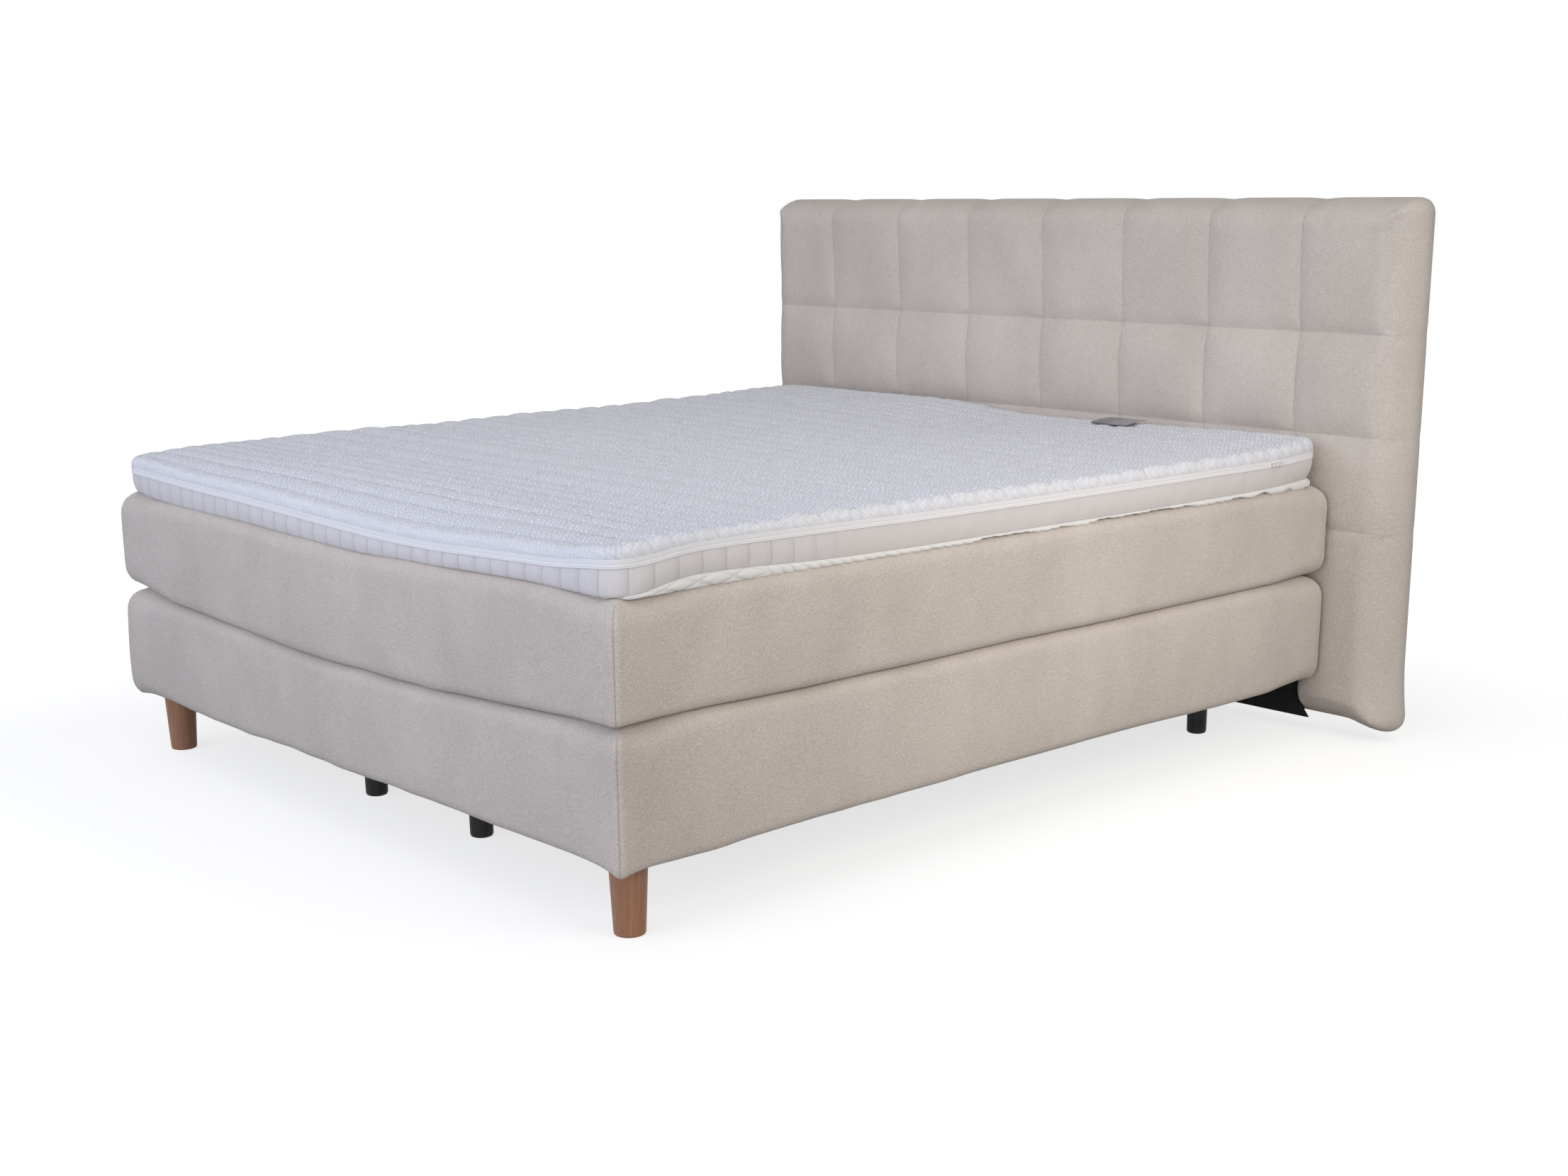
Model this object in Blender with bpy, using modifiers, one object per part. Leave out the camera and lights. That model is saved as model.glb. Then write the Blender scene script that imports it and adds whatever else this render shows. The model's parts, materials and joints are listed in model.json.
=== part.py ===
"""Box spring bed: upholstered base on legs, spring mattress, zipped topper and tufted headboard.

Metres, +Z up, floor at z = 0, head end towards +Y. The origin is the centre of the footprint.
"""

import math

import bmesh
import bpy
from mathutils import Matrix, Vector

# Overall sizes of the bed
BED_WIDTH = 1.80
BED_LENGTH = 2.02
LEG_HEIGHT = 0.138
CORNER_RADIUS = 0.030
CLEARANCE = 0.0003
CUT_OVERRUN = 0.010

# Upholstery of base and mattress
COVER_THICKNESS = 0.004
HEM_WIDTH = 0.050
BASE_CROWN = 0.006
MATTRESS_CROWN = 0.002
CONTACT_INSET = 0.055
CROWN_INSET = 0.300
EDGE_DROOP = 0.024
LEAST_CORNER = 0.0005

# Base, from the floor up
DUST_CLOTH_THICKNESS = 0.0015
DUST_CLOTH_INSET = 0.020
RAIL_HEIGHT = 0.085
RAIL_THICKNESS = 0.022
SIDE_FOAM = 0.020
SLAT_COUNT = 6
SLAT_WIDTH = 0.095
SLAT_THICKNESS = 0.015
BASE_SPRING_HEIGHT = 0.080
FELT_THICKNESS = 0.005
BASE_FOAM_THICKNESS = 0.050
BASE_LOW_RADIUS = 0.022
BASE_TOP_RADIUS = 0.036
BEAM_WIDTH = 0.045
BEARER_WIDTH = 0.080
BEARER_HEIGHT = 0.030
CORNER_BLOCK_SIZE = 0.095

# Legs
WOOD_LEG_INSET = 0.068
WOOD_LEG_TOP_RADIUS = 0.0345
WOOD_LEG_FOOT_RADIUS = 0.0280
WOOD_LEG_FOOT_ROUND = 0.004
WOOD_LEG_STEPS = 24
SUPPORT_LEG_RADIUS = 0.0245
SUPPORT_LEG_TAPER = 0.0015
SUPPORT_LEG_FOOT_ROUND = 0.006
SUPPORT_LEG_STEPS = 16
CENTRE_LEG_OFFSET = 0.197
HEAD_LEG_OFFSET = 0.679
FOOT_SUPPORT_INSET = 0.190
HEAD_SUPPORT_INSET = 0.165
STUD_RADIUS = 0.005
STUD_IN_LEG = 0.030
STUD_STEPS = 8

# Mattress, from its underside up
MATTRESS_LOW_FOAM = 0.032
MATTRESS_SPRING_HEIGHT = 0.135
MATTRESS_TOP_FOAM = 0.034
MATTRESS_RADIUS = 0.030
MATTRESS_EDGE_FOAM = 0.070
MATTRESS_HEM_WIDTH = 0.120
SPRING_PITCH = 0.085
SPRING_NOTCH = 0.014

# Topper, from its underside up
TOPPER_INSET = 0.010
TOPPER_CORNER = 0.050
TOPPER_CORE_CORNER = 0.080
TOPPER_FABRIC = 0.004
TOPPER_LOW_HEIGHT = 0.012
TOPPER_LOW_PUFF = 0.003
TOPPER_MESH_HEIGHT = 0.042
ZIP_TAPE_HEIGHT = 0.010
ZIP_TAPE_PROUD = 0.001
TOPPER_QUILT_HEIGHT = 0.018
TOPPER_QUILT_ROUND = 0.010
TOPPER_QUILT_BACK = 0.006
TOPPER_CROWN = 0.006
CHANNEL_DEPTH = 0.004
CHANNEL_SCALLOP = 0.003
# Zones of sewn channels from the foot to the head, as (count, width of each)
CHANNEL_ZONES = ((7, 0.047), (3, 0.093), (3, 0.047), (8, 0.0713), (3, 0.097), (7, 0.048))
FIRST_SEAM_FROM_FOOT = 0.032
TOPPER_COLUMN_SHARES = (-1.0, -0.965, -0.5, 0.0, 0.5, 0.965, 1.0)
LABEL_WIDTH = 0.110
LABEL_DEPTH = 0.070
LABEL_THICKNESS = 0.0008
LABEL_OFFSET = 0.315
LABEL_LIFT = 0.0015
LABEL_SEAM_RISE = 0.002

# Zip slider and its pull
SLIDER_LENGTH = 0.016
SLIDER_HEIGHT = 0.0095
SLIDER_DEPTH = 0.0050
SLIDER_NOSE_SHARE = 0.55
ARCH_SPAN = 0.0090
ARCH_RISE = 0.0032
ARCH_THICKNESS = 0.0010
ARCH_WIDTH = 0.0022
PULL_LENGTH = 0.030
PULL_WIDTH = 0.0070
PULL_THICKNESS = 0.0011
PULL_SLOT_WIDTH = 0.0034
PULL_SLOT_MARGIN = 0.0006
PULL_BAR = 0.0010
SLIDER_FROM_HEAD = 0.215

# Headboard
HEADBOARD_WIDTH = 2.07
HEADBOARD_FLOOR_GAP = 0.036
HEADBOARD_HEIGHT = 1.188
HEADBOARD_GAP = 0.020
HEADBOARD_QUILT = 0.022
HEADBOARD_TUFT_DEPTH = 0.015
HEADBOARD_SIDE_QUILT = 0.012
HEADBOARD_EDGE_ROUND = 0.016
HEADBOARD_HEM_WIDTH = 0.045
HEADBOARD_HEM = 0.003
HEADBOARD_FOAM = 0.030
HEADBOARD_PANEL = 0.008
HEADBOARD_FRAME = 0.040
HEADBOARD_BACK_CLOTH = 0.0015
HEADBOARD_BACK_CLOTH_INSET = 0.012
HEADBOARD_POST_WIDTH = 0.060
HEADBOARD_RAIL_HEIGHT = 0.060
FIXING_RAIL_HEIGHT = 0.120
FIXING_RAIL_HALF_LENGTH = 0.600
TUFT_COLUMNS = 8
SEAM_HEIGHTS = (0.488, 0.702, 0.930)
TUFTED_ROWS = 2
TUFT_SHARES = (0.0, 0.16, 0.5, 0.84)
LOWER_CLOTH_HALF_WIDTH = 0.829
LOWER_CLOTH_FOOT_HALF_WIDTH = 0.862
LOWER_CLOTH_SLANT_HEIGHT = 0.069
LOWER_CLOTH_HEIGHT = 0.290
LOWER_CLOTH_RECESS = 0.006

# Brackets that hold the headboard to the base
BRACKET_OFFSET = 0.400
BRACKET_WIDTH = 0.050
BRACKET_PLATE = 0.004
BRACKET_REACH = 0.090
BRACKET_RISE = 0.110
BOLT_RADIUS = 0.004
BOLT_HEAD_RADIUS = 0.0075
BOLT_HEAD_HEIGHT = 0.005
BOLT_REACH = 0.020
SCREW_REACH = 0.025
BOLT_FROM_TOP = 0.030
BOLT_STEPS = 12

# How finely round shapes are divided
CORNER_STEPS = 3
SIDE_STEPS_X = 6
SIDE_STEPS_Y = 6
WOOD_EDGE = 0.002
BOARD_BEVEL_STEPS = 1

# Levels of the stack, worked out from the layers
DUST_Z = LEG_HEIGHT + CLEARANCE
BASE_Z = DUST_Z + DUST_CLOTH_THICKNESS + CLEARANCE
RAIL_Z = BASE_Z + COVER_THICKNESS + CLEARANCE
SLAT_Z = RAIL_Z + RAIL_HEIGHT + CLEARANCE
BASE_SPRING_Z = SLAT_Z + SLAT_THICKNESS + CLEARANCE
FELT_Z = BASE_SPRING_Z + BASE_SPRING_HEIGHT + CLEARANCE
BASE_FOAM_Z = FELT_Z + FELT_THICKNESS + CLEARANCE
BASE_HEIGHT = BASE_FOAM_Z + BASE_FOAM_THICKNESS + CLEARANCE + COVER_THICKNESS - BASE_Z
MATTRESS_Z = BASE_Z + BASE_HEIGHT + CLEARANCE
MATTRESS_LOW_FOAM_Z = MATTRESS_Z + COVER_THICKNESS + CLEARANCE
MATTRESS_SPRING_Z = MATTRESS_LOW_FOAM_Z + MATTRESS_LOW_FOAM + CLEARANCE
MATTRESS_TOP_FOAM_Z = MATTRESS_SPRING_Z + MATTRESS_SPRING_HEIGHT + CLEARANCE
MATTRESS_TOP_Z = MATTRESS_TOP_FOAM_Z + MATTRESS_TOP_FOAM + CLEARANCE + COVER_THICKNESS
MATTRESS_HEIGHT = MATTRESS_TOP_Z - MATTRESS_Z
TOPPER_Z = MATTRESS_TOP_Z + CLEARANCE
MESH_Z = TOPPER_Z + TOPPER_LOW_HEIGHT + CLEARANCE
ZIP_Z = MESH_Z + TOPPER_MESH_HEIGHT + CLEARANCE
QUILT_Z = ZIP_Z + ZIP_TAPE_HEIGHT + CLEARANCE
TOPPER_TOP_Z = QUILT_Z + TOPPER_QUILT_HEIGHT

# Places along the bed, measured from the centre of the whole footprint
HEADBOARD_DEPTH = (
    HEADBOARD_QUILT
    + HEADBOARD_FOAM
    + HEADBOARD_PANEL
    + HEADBOARD_FRAME
    + HEADBOARD_HEM
    + HEADBOARD_BACK_CLOTH
    + 5 * CLEARANCE
)
TOTAL_LENGTH = BED_LENGTH + HEADBOARD_GAP + HEADBOARD_DEPTH
BED_Y = (BED_LENGTH - TOTAL_LENGTH) / 2
FOOT_Y = BED_Y - BED_LENGTH / 2
HEAD_Y = BED_Y + BED_LENGTH / 2
HALF_X = BED_WIDTH / 2
HALF_Y = BED_LENGTH / 2
HEADBOARD_FRONT_Y = HEAD_Y + HEADBOARD_GAP
HEADBOARD_FOAM_Y = HEADBOARD_FRONT_Y + HEADBOARD_QUILT + CLEARANCE
HEADBOARD_PANEL_Y = HEADBOARD_FOAM_Y + HEADBOARD_FOAM + CLEARANCE
HEADBOARD_FRAME_Y = HEADBOARD_PANEL_Y + HEADBOARD_PANEL + CLEARANCE
HEADBOARD_HEM_Y = HEADBOARD_FRAME_Y + HEADBOARD_FRAME + CLEARANCE
HEADBOARD_CLOTH_Y = HEADBOARD_HEM_Y + HEADBOARD_HEM + CLEARANCE
HEADBOARD_TOP_Z = HEADBOARD_FLOOR_GAP + HEADBOARD_HEIGHT
FRAME_INSET = BASE_CROWN + COVER_THICKNESS + SIDE_FOAM + 2 * CLEARANCE

parts = bpy.data.collections.new("box_spring_bed")
tools = bpy.data.collections.new("cutters")


def clear_scene():
    for obj in list(bpy.data.objects):
        bpy.data.objects.remove(obj, do_unlink=True)
    bpy.context.scene.collection.children.link(parts)
    bpy.context.scene.collection.children.link(tools)


def material(name, colour, roughness, metallic=0.0):
    made = bpy.data.materials.new(name)
    made.use_nodes = True
    shader = made.node_tree.nodes["Principled BSDF"]
    shader.inputs["Base Color"].default_value = (*colour, 1.0)
    shader.inputs["Roughness"].default_value = roughness
    shader.inputs["Metallic"].default_value = metallic
    made.diffuse_color = (*colour, 1.0)
    return made


def make_materials():
    return {
        "velvet": material("velvet", (0.62, 0.55, 0.49), 0.85),
        "topper_knit": material("topper_knit", (0.82, 0.83, 0.86), 0.9),
        "topper_mesh": material("topper_mesh", (0.66, 0.64, 0.63), 0.85),
        "zip_tape": material("zip_tape", (0.84, 0.84, 0.85), 0.6),
        "zip_metal": material("zip_metal", (0.70, 0.70, 0.70), 0.35, 1.0),
        "label_satin": material("label_satin", (0.20, 0.19, 0.21), 0.45),
        "beech": material("beech", (0.55, 0.30, 0.17), 0.45),
        "spruce": material("spruce", (0.66, 0.50, 0.32), 0.7),
        "black_plastic": material("black_plastic", (0.015, 0.015, 0.017), 0.35),
        "black_cloth": material("black_cloth", (0.012, 0.012, 0.014), 0.95),
        "foam": material("foam", (0.80, 0.78, 0.70), 0.95),
        "felt": material("felt", (0.35, 0.35, 0.36), 1.0),
        "spring_pocket": material("spring_pocket", (0.75, 0.75, 0.74), 0.9),
        "hardboard": material("hardboard", (0.35, 0.22, 0.13), 0.8),
        "steel": material("steel", (0.55, 0.55, 0.56), 0.4, 1.0),
    }


def add_object(name, bm, finish, location=(0, 0, 0), collection=None):
    """Turns a bmesh into a named object with its own material slot."""
    bmesh.ops.recalc_face_normals(bm, faces=bm.faces)
    mesh = bpy.data.meshes.new(name)
    bm.to_mesh(mesh)
    bm.free()
    if finish:
        mesh.materials.append(finish)
    obj = bpy.data.objects.new(name, mesh)
    obj.location = location
    (collection or parts).objects.link(obj)
    return obj


def smooth(obj, angle=40.0):
    obj.data.shade_smooth()
    obj.data.set_sharp_from_angle(angle=math.radians(angle))
    return obj


def prism(section, along):
    """A solid made by carrying a flat section of points along a vector."""
    bm = bmesh.new()
    face = bm.faces.new([bm.verts.new(point) for point in section])
    lifted = bmesh.ops.extrude_face_region(bm, geom=[face])
    moved = [item for item in lifted["geom"] if isinstance(item, bmesh.types.BMVert)]
    bmesh.ops.translate(bm, vec=along, verts=moved)
    return bm


# Plain boards and cylinders


def board(name, finish, low, high, bevel=WOOD_EDGE):
    """A board between two corners, with its long edges broken."""
    bm = bmesh.new()
    bmesh.ops.create_cube(bm, size=1.0)
    size = Vector(high) - Vector(low)
    bmesh.ops.scale(bm, vec=size, verts=bm.verts)
    obj = add_object(name, bm, finish, location=(Vector(low) + Vector(high)) / 2)
    if bevel:
        edge = obj.modifiers.new("broken_edges", "BEVEL")
        edge.width = bevel
        edge.segments = BOARD_BEVEL_STEPS
        edge.limit_method = "ANGLE"
    return obj


def rod(bm, centre, axis, radius, length, steps):
    """Adds a cylinder to a bmesh: it starts at centre and runs along axis."""
    turn = Vector((0, 0, 1)).rotation_difference(Vector(axis)).to_matrix().to_4x4()
    middle = Vector(centre) + Vector(axis) * (length / 2)
    bmesh.ops.create_cone(
        bm,
        cap_ends=True,
        segments=steps,
        radius1=radius,
        radius2=radius,
        depth=length,
        matrix=Matrix.Translation(middle) @ turn,
    )


def turned(name, finish, profile, steps, location):
    """A turned solid: the profile is (radius, height) points from the top of the axis to its foot."""
    mesh = bpy.data.meshes.new(name)
    edges = [(i, i + 1) for i in range(len(profile) - 1)]
    mesh.from_pydata([(radius, 0, height) for radius, height in profile], edges, [])
    mesh.materials.append(finish)
    obj = bpy.data.objects.new(name, mesh)
    obj.location = location
    parts.objects.link(obj)
    lathe = obj.modifiers.new("lathe", "SCREW")
    lathe.steps = steps
    lathe.render_steps = steps
    lathe.use_merge_vertices = True
    lathe.merge_threshold = 0.0001
    lathe.use_smooth_shade = True
    return obj


def cutter(name, bm):
    obj = add_object(name, bm, None, collection=tools)
    obj.hide_render = True
    obj.display_type = "WIRE"
    return obj


def cut(obj, tool):
    hole = obj.modifiers.new("cut_" + tool.name, "BOOLEAN")
    hole.operation = "DIFFERENCE"
    hole.solver = "EXACT"
    hole.object = tool


# Lofted pads and covers: a stack of rounded rectangles


def outline(half_x, half_y, radius):
    """Points of a rounded rectangle about the origin, with evenly divided sides."""
    points = []
    corners = ((1, -1, -90), (1, 1, 0), (-1, 1, 90), (-1, -1, 180))
    straight = (SIDE_STEPS_Y, SIDE_STEPS_X, SIDE_STEPS_Y, SIDE_STEPS_X)
    for index, (side_x, side_y, start) in enumerate(corners):
        centre = Vector((side_x * (half_x - radius), side_y * (half_y - radius)))
        for step in range(CORNER_STEPS + 1):
            angle = math.radians(start + 90 * step / CORNER_STEPS)
            points.append(centre + radius * Vector((math.cos(angle), math.sin(angle))))
        next_x, next_y, next_start = corners[(index + 1) % 4]
        centre = Vector((next_x * (half_x - radius), next_y * (half_y - radius)))
        angle = math.radians(next_start)
        target = centre + radius * Vector((math.cos(angle), math.sin(angle)))
        last = points[-1]
        for step in range(1, straight[index]):
            points.append(last.lerp(target, step / straight[index]))
    return points


def foot_droop(point, half_x, half_y):
    """1 in the middle of the foot edge, 0 at the corners and along the other sides."""
    if point.y > LEAST_CORNER - half_y:
        return 0
    return 1 - (point.x / (half_x - CORNER_RADIUS)) ** 2


def ring(half_x, half_y, corner, inset, height, droop=0):
    """One section of a pad: the outline drawn in by inset, at a height less the droop at the foot."""
    radius = max(corner - inset, LEAST_CORNER)
    points = outline(half_x - inset, half_y - inset, radius)
    full = outline(half_x, half_y, CORNER_RADIUS)
    return [
        (p.x, p.y, height - droop * foot_droop(q, half_x, half_y))
        for p, q in zip(points, full)
    ]


def loft(name, finish, rings, endless=False):
    """Skins a stack of rings; the ends are closed flat, or joined when the stack is endless."""
    bm = bmesh.new()
    rows = [[bm.verts.new(point) for point in points] for points in rings]
    pairs = list(zip(rows, rows[1:]))
    if endless:
        pairs.append((rows[-1], rows[0]))
    for low, high in pairs:
        count = len(low)
        for i in range(count):
            j = (i + 1) % count
            bm.faces.new((low[i], low[j], high[j], high[i]))
    if not endless:
        bm.faces.new(rows[0])
        bm.faces.new(rows[-1])
    # The same diagonals in every layer, so that nested skins stay apart
    bmesh.ops.triangulate(bm, faces=bm.faces, quad_method="SHORT_EDGE")
    return smooth(add_object(name, bm, finish, location=(0, BED_Y, 0)))


def drawn_in(profile, thickness):
    """The profile moved inwards by a thickness; each point is (inset, height, droop)."""
    moved = []
    for i, (inset, height, droop) in enumerate(profile):
        normals = []
        for a, b in ((i - 1, i), (i, i + 1)):
            if a < 0 or b >= len(profile):
                continue
            along = Vector((profile[a][0] - profile[b][0], profile[b][1] - profile[a][1]))
            normals.append(Vector((along.y, -along.x)).normalized())
        total = sum(normals, Vector((0, 0)))
        shift = total / (total.length_squared / len(normals))
        moved.append((inset + thickness * shift.x, height - thickness * shift.y, droop))
    return moved


def rings_of(profile, half_x=HALF_X, half_y=HALF_Y, corner=CORNER_RADIUS):
    return [ring(half_x, half_y, corner, *point) for point in profile]


def arc_point(radius, share):
    """How far an edge of this radius stands in and down, at a share of its quarter turn."""
    angle = math.radians(90 * share)
    return radius * (1 - math.cos(angle)), radius * (1 - math.sin(angle))


def edge_profile(low, high, radii, droops, crown):
    """Side of a crowned pad from its underside to its top: (inset, height, droop) points."""
    low_radius, top_radius = radii
    low_droop, top_droop = droops
    low_in, low_up = arc_point(low_radius, 1 / 2)
    top_in, top_down = arc_point(top_radius, 1 / 2)
    return [
        (CONTACT_INSET, low, 0),
        (low_radius + crown, low, low_droop),
        (low_in + crown, low + low_up, low_droop),
        (crown / 2, low + low_radius, low_droop),
        (0, (low + high) / 2, (low_droop + top_droop) / 2),
        (crown / 2, high - top_radius, top_droop),
        (top_in + crown, high - top_down, top_droop),
        (top_radius + crown, high, top_droop),
        (CONTACT_INSET, high, 0),
    ]


# Quilted skins: a grid shaped by a height, wrapped round its rim and closed behind


def rim_loop(bm):
    """The verts of the open rim of a sheet, in order."""
    start = next(e for e in bm.edges if e.is_boundary)
    loop = [start.verts[0], start.verts[1]]
    last = start
    while True:
        last = next(e for e in loop[-1].link_edges if e.is_boundary and e is not last)
        vert = last.other_vert(loop[-1])
        if vert is loop[0]:
            return loop
        loop.append(vert)


def wrap_rim(bm, half_x, half_y, steps, plan_of):
    """Carries the rim of a sheet through (inset, height) steps, then closes it with a flat face."""
    loop = rim_loop(bm)
    plan = [plan_of(v.co.x, v.co.y) for v in loop]
    for inset, height in steps:
        share_x = (half_x - inset) / half_x
        share_y = (half_y - inset) / half_y
        new = [bm.verts.new((x * share_x, y * share_y, height)) for x, y in plan]
        for i in range(len(loop)):
            j = (i + 1) % len(loop)
            bm.faces.new((loop[i], loop[j], new[j], new[i]))
        loop = new
    bm.faces.new(loop)


def grid_sheet(columns, rows):
    """A grid whose verts stand at the given shares across and along, from -1 to 1."""
    bm = bmesh.new()
    bmesh.ops.create_grid(bm, x_segments=len(columns) - 1, y_segments=len(rows) - 1, size=1.0)
    for vert in bm.verts:
        i = round((vert.co.x + 1) / 2 * (len(columns) - 1))
        j = round((vert.co.y + 1) / 2 * (len(rows) - 1))
        vert.co = (columns[i], rows[j], 0)
    return bm


# Base


def base_profile():
    top = BASE_Z + BASE_HEIGHT
    radii = (BASE_LOW_RADIUS, BASE_TOP_RADIUS)
    return edge_profile(BASE_Z, top, radii, (0, EDGE_DROOP), BASE_CROWN)


def make_base_cover(finish):
    """Upholstery over the sides and top, hemmed under the frame."""
    outer = base_profile()
    top = BASE_Z + BASE_HEIGHT
    outer[0] = (HEM_WIDTH, BASE_Z, 0)
    inner = drawn_in(outer, COVER_THICKNESS)
    inner_cap = (CROWN_INSET, top - COVER_THICKNESS, 0)
    stack = [inner_cap] + inner[::-1] + outer + [(CROWN_INSET, top, 0)]
    return loft("base_cover", finish["velvet"], rings_of(stack))


def make_base_foam(finish):
    """Foam cap over springs and frame: thick on top, thin down the sides."""
    outer = drawn_in(base_profile(), COVER_THICKNESS + CLEARANCE)[3:]
    top = outer[-1][1]
    outer[0] = (outer[0][0], max(outer[0][1], RAIL_Z), 0)
    inner_inset = FRAME_INSET - CLEARANCE
    inner = [
        (CROWN_INSET, BASE_FOAM_Z, 0),
        (inner_inset, BASE_FOAM_Z, 0),
        (inner_inset, outer[0][1], 0),
    ]
    stack = rings_of(inner, corner=0) + rings_of(outer + [(CROWN_INSET, top, 0)])
    return loft("base_foam", finish["foam"], stack)


def make_base_frame(finish):
    wood = finish["spruce"]
    out_x = HALF_X - FRAME_INSET
    out_y = HALF_Y - FRAME_INSET
    in_x = out_x - RAIL_THICKNESS
    in_y = out_y - RAIL_THICKNESS
    top = RAIL_Z + RAIL_HEIGHT
    for name, side in (("left", -1), ("right", 1)):
        xs = sorted((side * in_x, side * out_x))
        low = (xs[0], BED_Y - out_y, RAIL_Z)
        board("base_side_rail_" + name, wood, low, (xs[1], BED_Y + out_y, top))
        near_x = in_x - CLEARANCE
        far_x = near_x - CORNER_BLOCK_SIZE
        xs = sorted((side * far_x, side * near_x))
        near_y = BED_Y - in_y + CLEARANCE
        low = (xs[0], near_y, RAIL_Z)
        high = (xs[1], near_y + CORNER_BLOCK_SIZE, RAIL_Z + BEARER_HEIGHT)
        board("base_corner_block_" + name, wood, low, high)
    rail_x = in_x - CLEARANCE
    for name, side in (("foot", -1), ("head", 1)):
        ys = sorted((BED_Y + side * in_y, BED_Y + side * out_y))
        board(f"base_{name}_rail", wood, (-rail_x, ys[0], RAIL_Z), (rail_x, ys[1], top))
    support_ys = {"foot": FOOT_Y + FOOT_SUPPORT_INSET, "head": HEAD_Y - HEAD_SUPPORT_INSET}
    for name, y in support_ys.items():
        low = (-rail_x, y - BEARER_WIDTH / 2, RAIL_Z)
        high = (rail_x, y + BEARER_WIDTH / 2, RAIL_Z + BEARER_HEIGHT)
        board(f"base_{name}_bearer", wood, low, high)
    beam_y = in_y - CLEARANCE
    low = (-BEAM_WIDTH / 2, BED_Y - beam_y, RAIL_Z + BEARER_HEIGHT + CLEARANCE)
    board("base_centre_beam", wood, low, (BEAM_WIDTH / 2, BED_Y + beam_y, top))
    spacing = (2 * out_y - SLAT_WIDTH) / (SLAT_COUNT - 1)
    for index in range(SLAT_COUNT):
        y = BED_Y - out_y + index * spacing
        low = (-out_x, y, SLAT_Z)
        high = (out_x, y + SLAT_WIDTH, SLAT_Z + SLAT_THICKNESS)
        board(f"base_slat_{index + 1}", wood, low, high)


def spring_block(name, finish, half_x, half_y, low, height):
    """A block of pocketed springs, its outline notched between one pocket and the next."""
    count_x = round(2 * half_x / SPRING_PITCH)
    count_y = round(2 * half_y / SPRING_PITCH)
    rim = []
    sides = (
        ((-half_x, -half_y), (1, 0), count_x, half_x),
        ((half_x, -half_y), (0, 1), count_y, half_y),
        ((half_x, half_y), (-1, 0), count_x, half_x),
        ((-half_x, half_y), (0, -1), count_y, half_y),
    )
    for start, along, count, half in sides:
        pitch = 2 * half / count
        inward = Vector((-along[1], along[0]))
        for index in range(count):
            base = Vector(start) + Vector(along) * (index * pitch)
            first = SPRING_NOTCH / pitch
            for share, depth in ((0, SPRING_NOTCH), (first, 0), (1 - first, 0)):
                corner = index == 0 and share == 0
                step = Vector(along) * (share * pitch)
                if corner:
                    step = Vector(along) * depth
                rim.append(base + step + inward * depth)
    bm = prism([(p.x, p.y, low) for p in rim], (0, 0, height))
    return smooth(add_object(name, bm, finish, location=(0, BED_Y, 0)), 20.0)


def make_base_filling(finish):
    half_x = HALF_X - FRAME_INSET
    half_y = HALF_Y - FRAME_INSET
    spring_block(
        "base_spring_unit",
        finish["spring_pocket"],
        half_x,
        half_y,
        BASE_SPRING_Z,
        BASE_SPRING_HEIGHT,
    )
    low = (-half_x, BED_Y - half_y, FELT_Z)
    high = (half_x, BED_Y + half_y, FELT_Z + FELT_THICKNESS)
    board("base_felt", finish["felt"], low, high, bevel=0)


def make_dust_cloth(finish):
    half_x = HALF_X - DUST_CLOTH_INSET - BASE_CROWN
    half_y = HALF_Y - DUST_CLOTH_INSET - BASE_CROWN
    low = (-half_x, BED_Y - half_y, DUST_Z)
    high = (half_x, BED_Y + half_y, DUST_Z + DUST_CLOTH_THICKNESS)
    return board("base_dust_cloth", finish["black_cloth"], low, high, bevel=0)


# Legs


def leg_places():
    wood_x = HALF_X - WOOD_LEG_INSET
    wood_y = FOOT_Y + WOOD_LEG_INSET
    foot_y = FOOT_Y + FOOT_SUPPORT_INSET
    head_y = HEAD_Y - HEAD_SUPPORT_INSET
    wooden = {"left": (-wood_x, wood_y), "right": (wood_x, wood_y)}
    support = {
        "foot_left": (-CENTRE_LEG_OFFSET, foot_y),
        "foot_right": (CENTRE_LEG_OFFSET, foot_y),
        "head_left": (-CENTRE_LEG_OFFSET, head_y),
        "head_right": (CENTRE_LEG_OFFSET, head_y),
        "corner_left": (-HEAD_LEG_OFFSET, head_y),
        "corner_right": (HEAD_LEG_OFFSET, head_y),
    }
    return wooden, support


def foot_arc(radius, rounding):
    """Profile points round the lower edge of a leg, down to the middle of its flat foot."""
    points = []
    for share in (0, 1 / 2, 1):
        inset, down = arc_point(rounding, share)
        points.append((radius - inset, down))
    return points + [(0, 0)]


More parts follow.
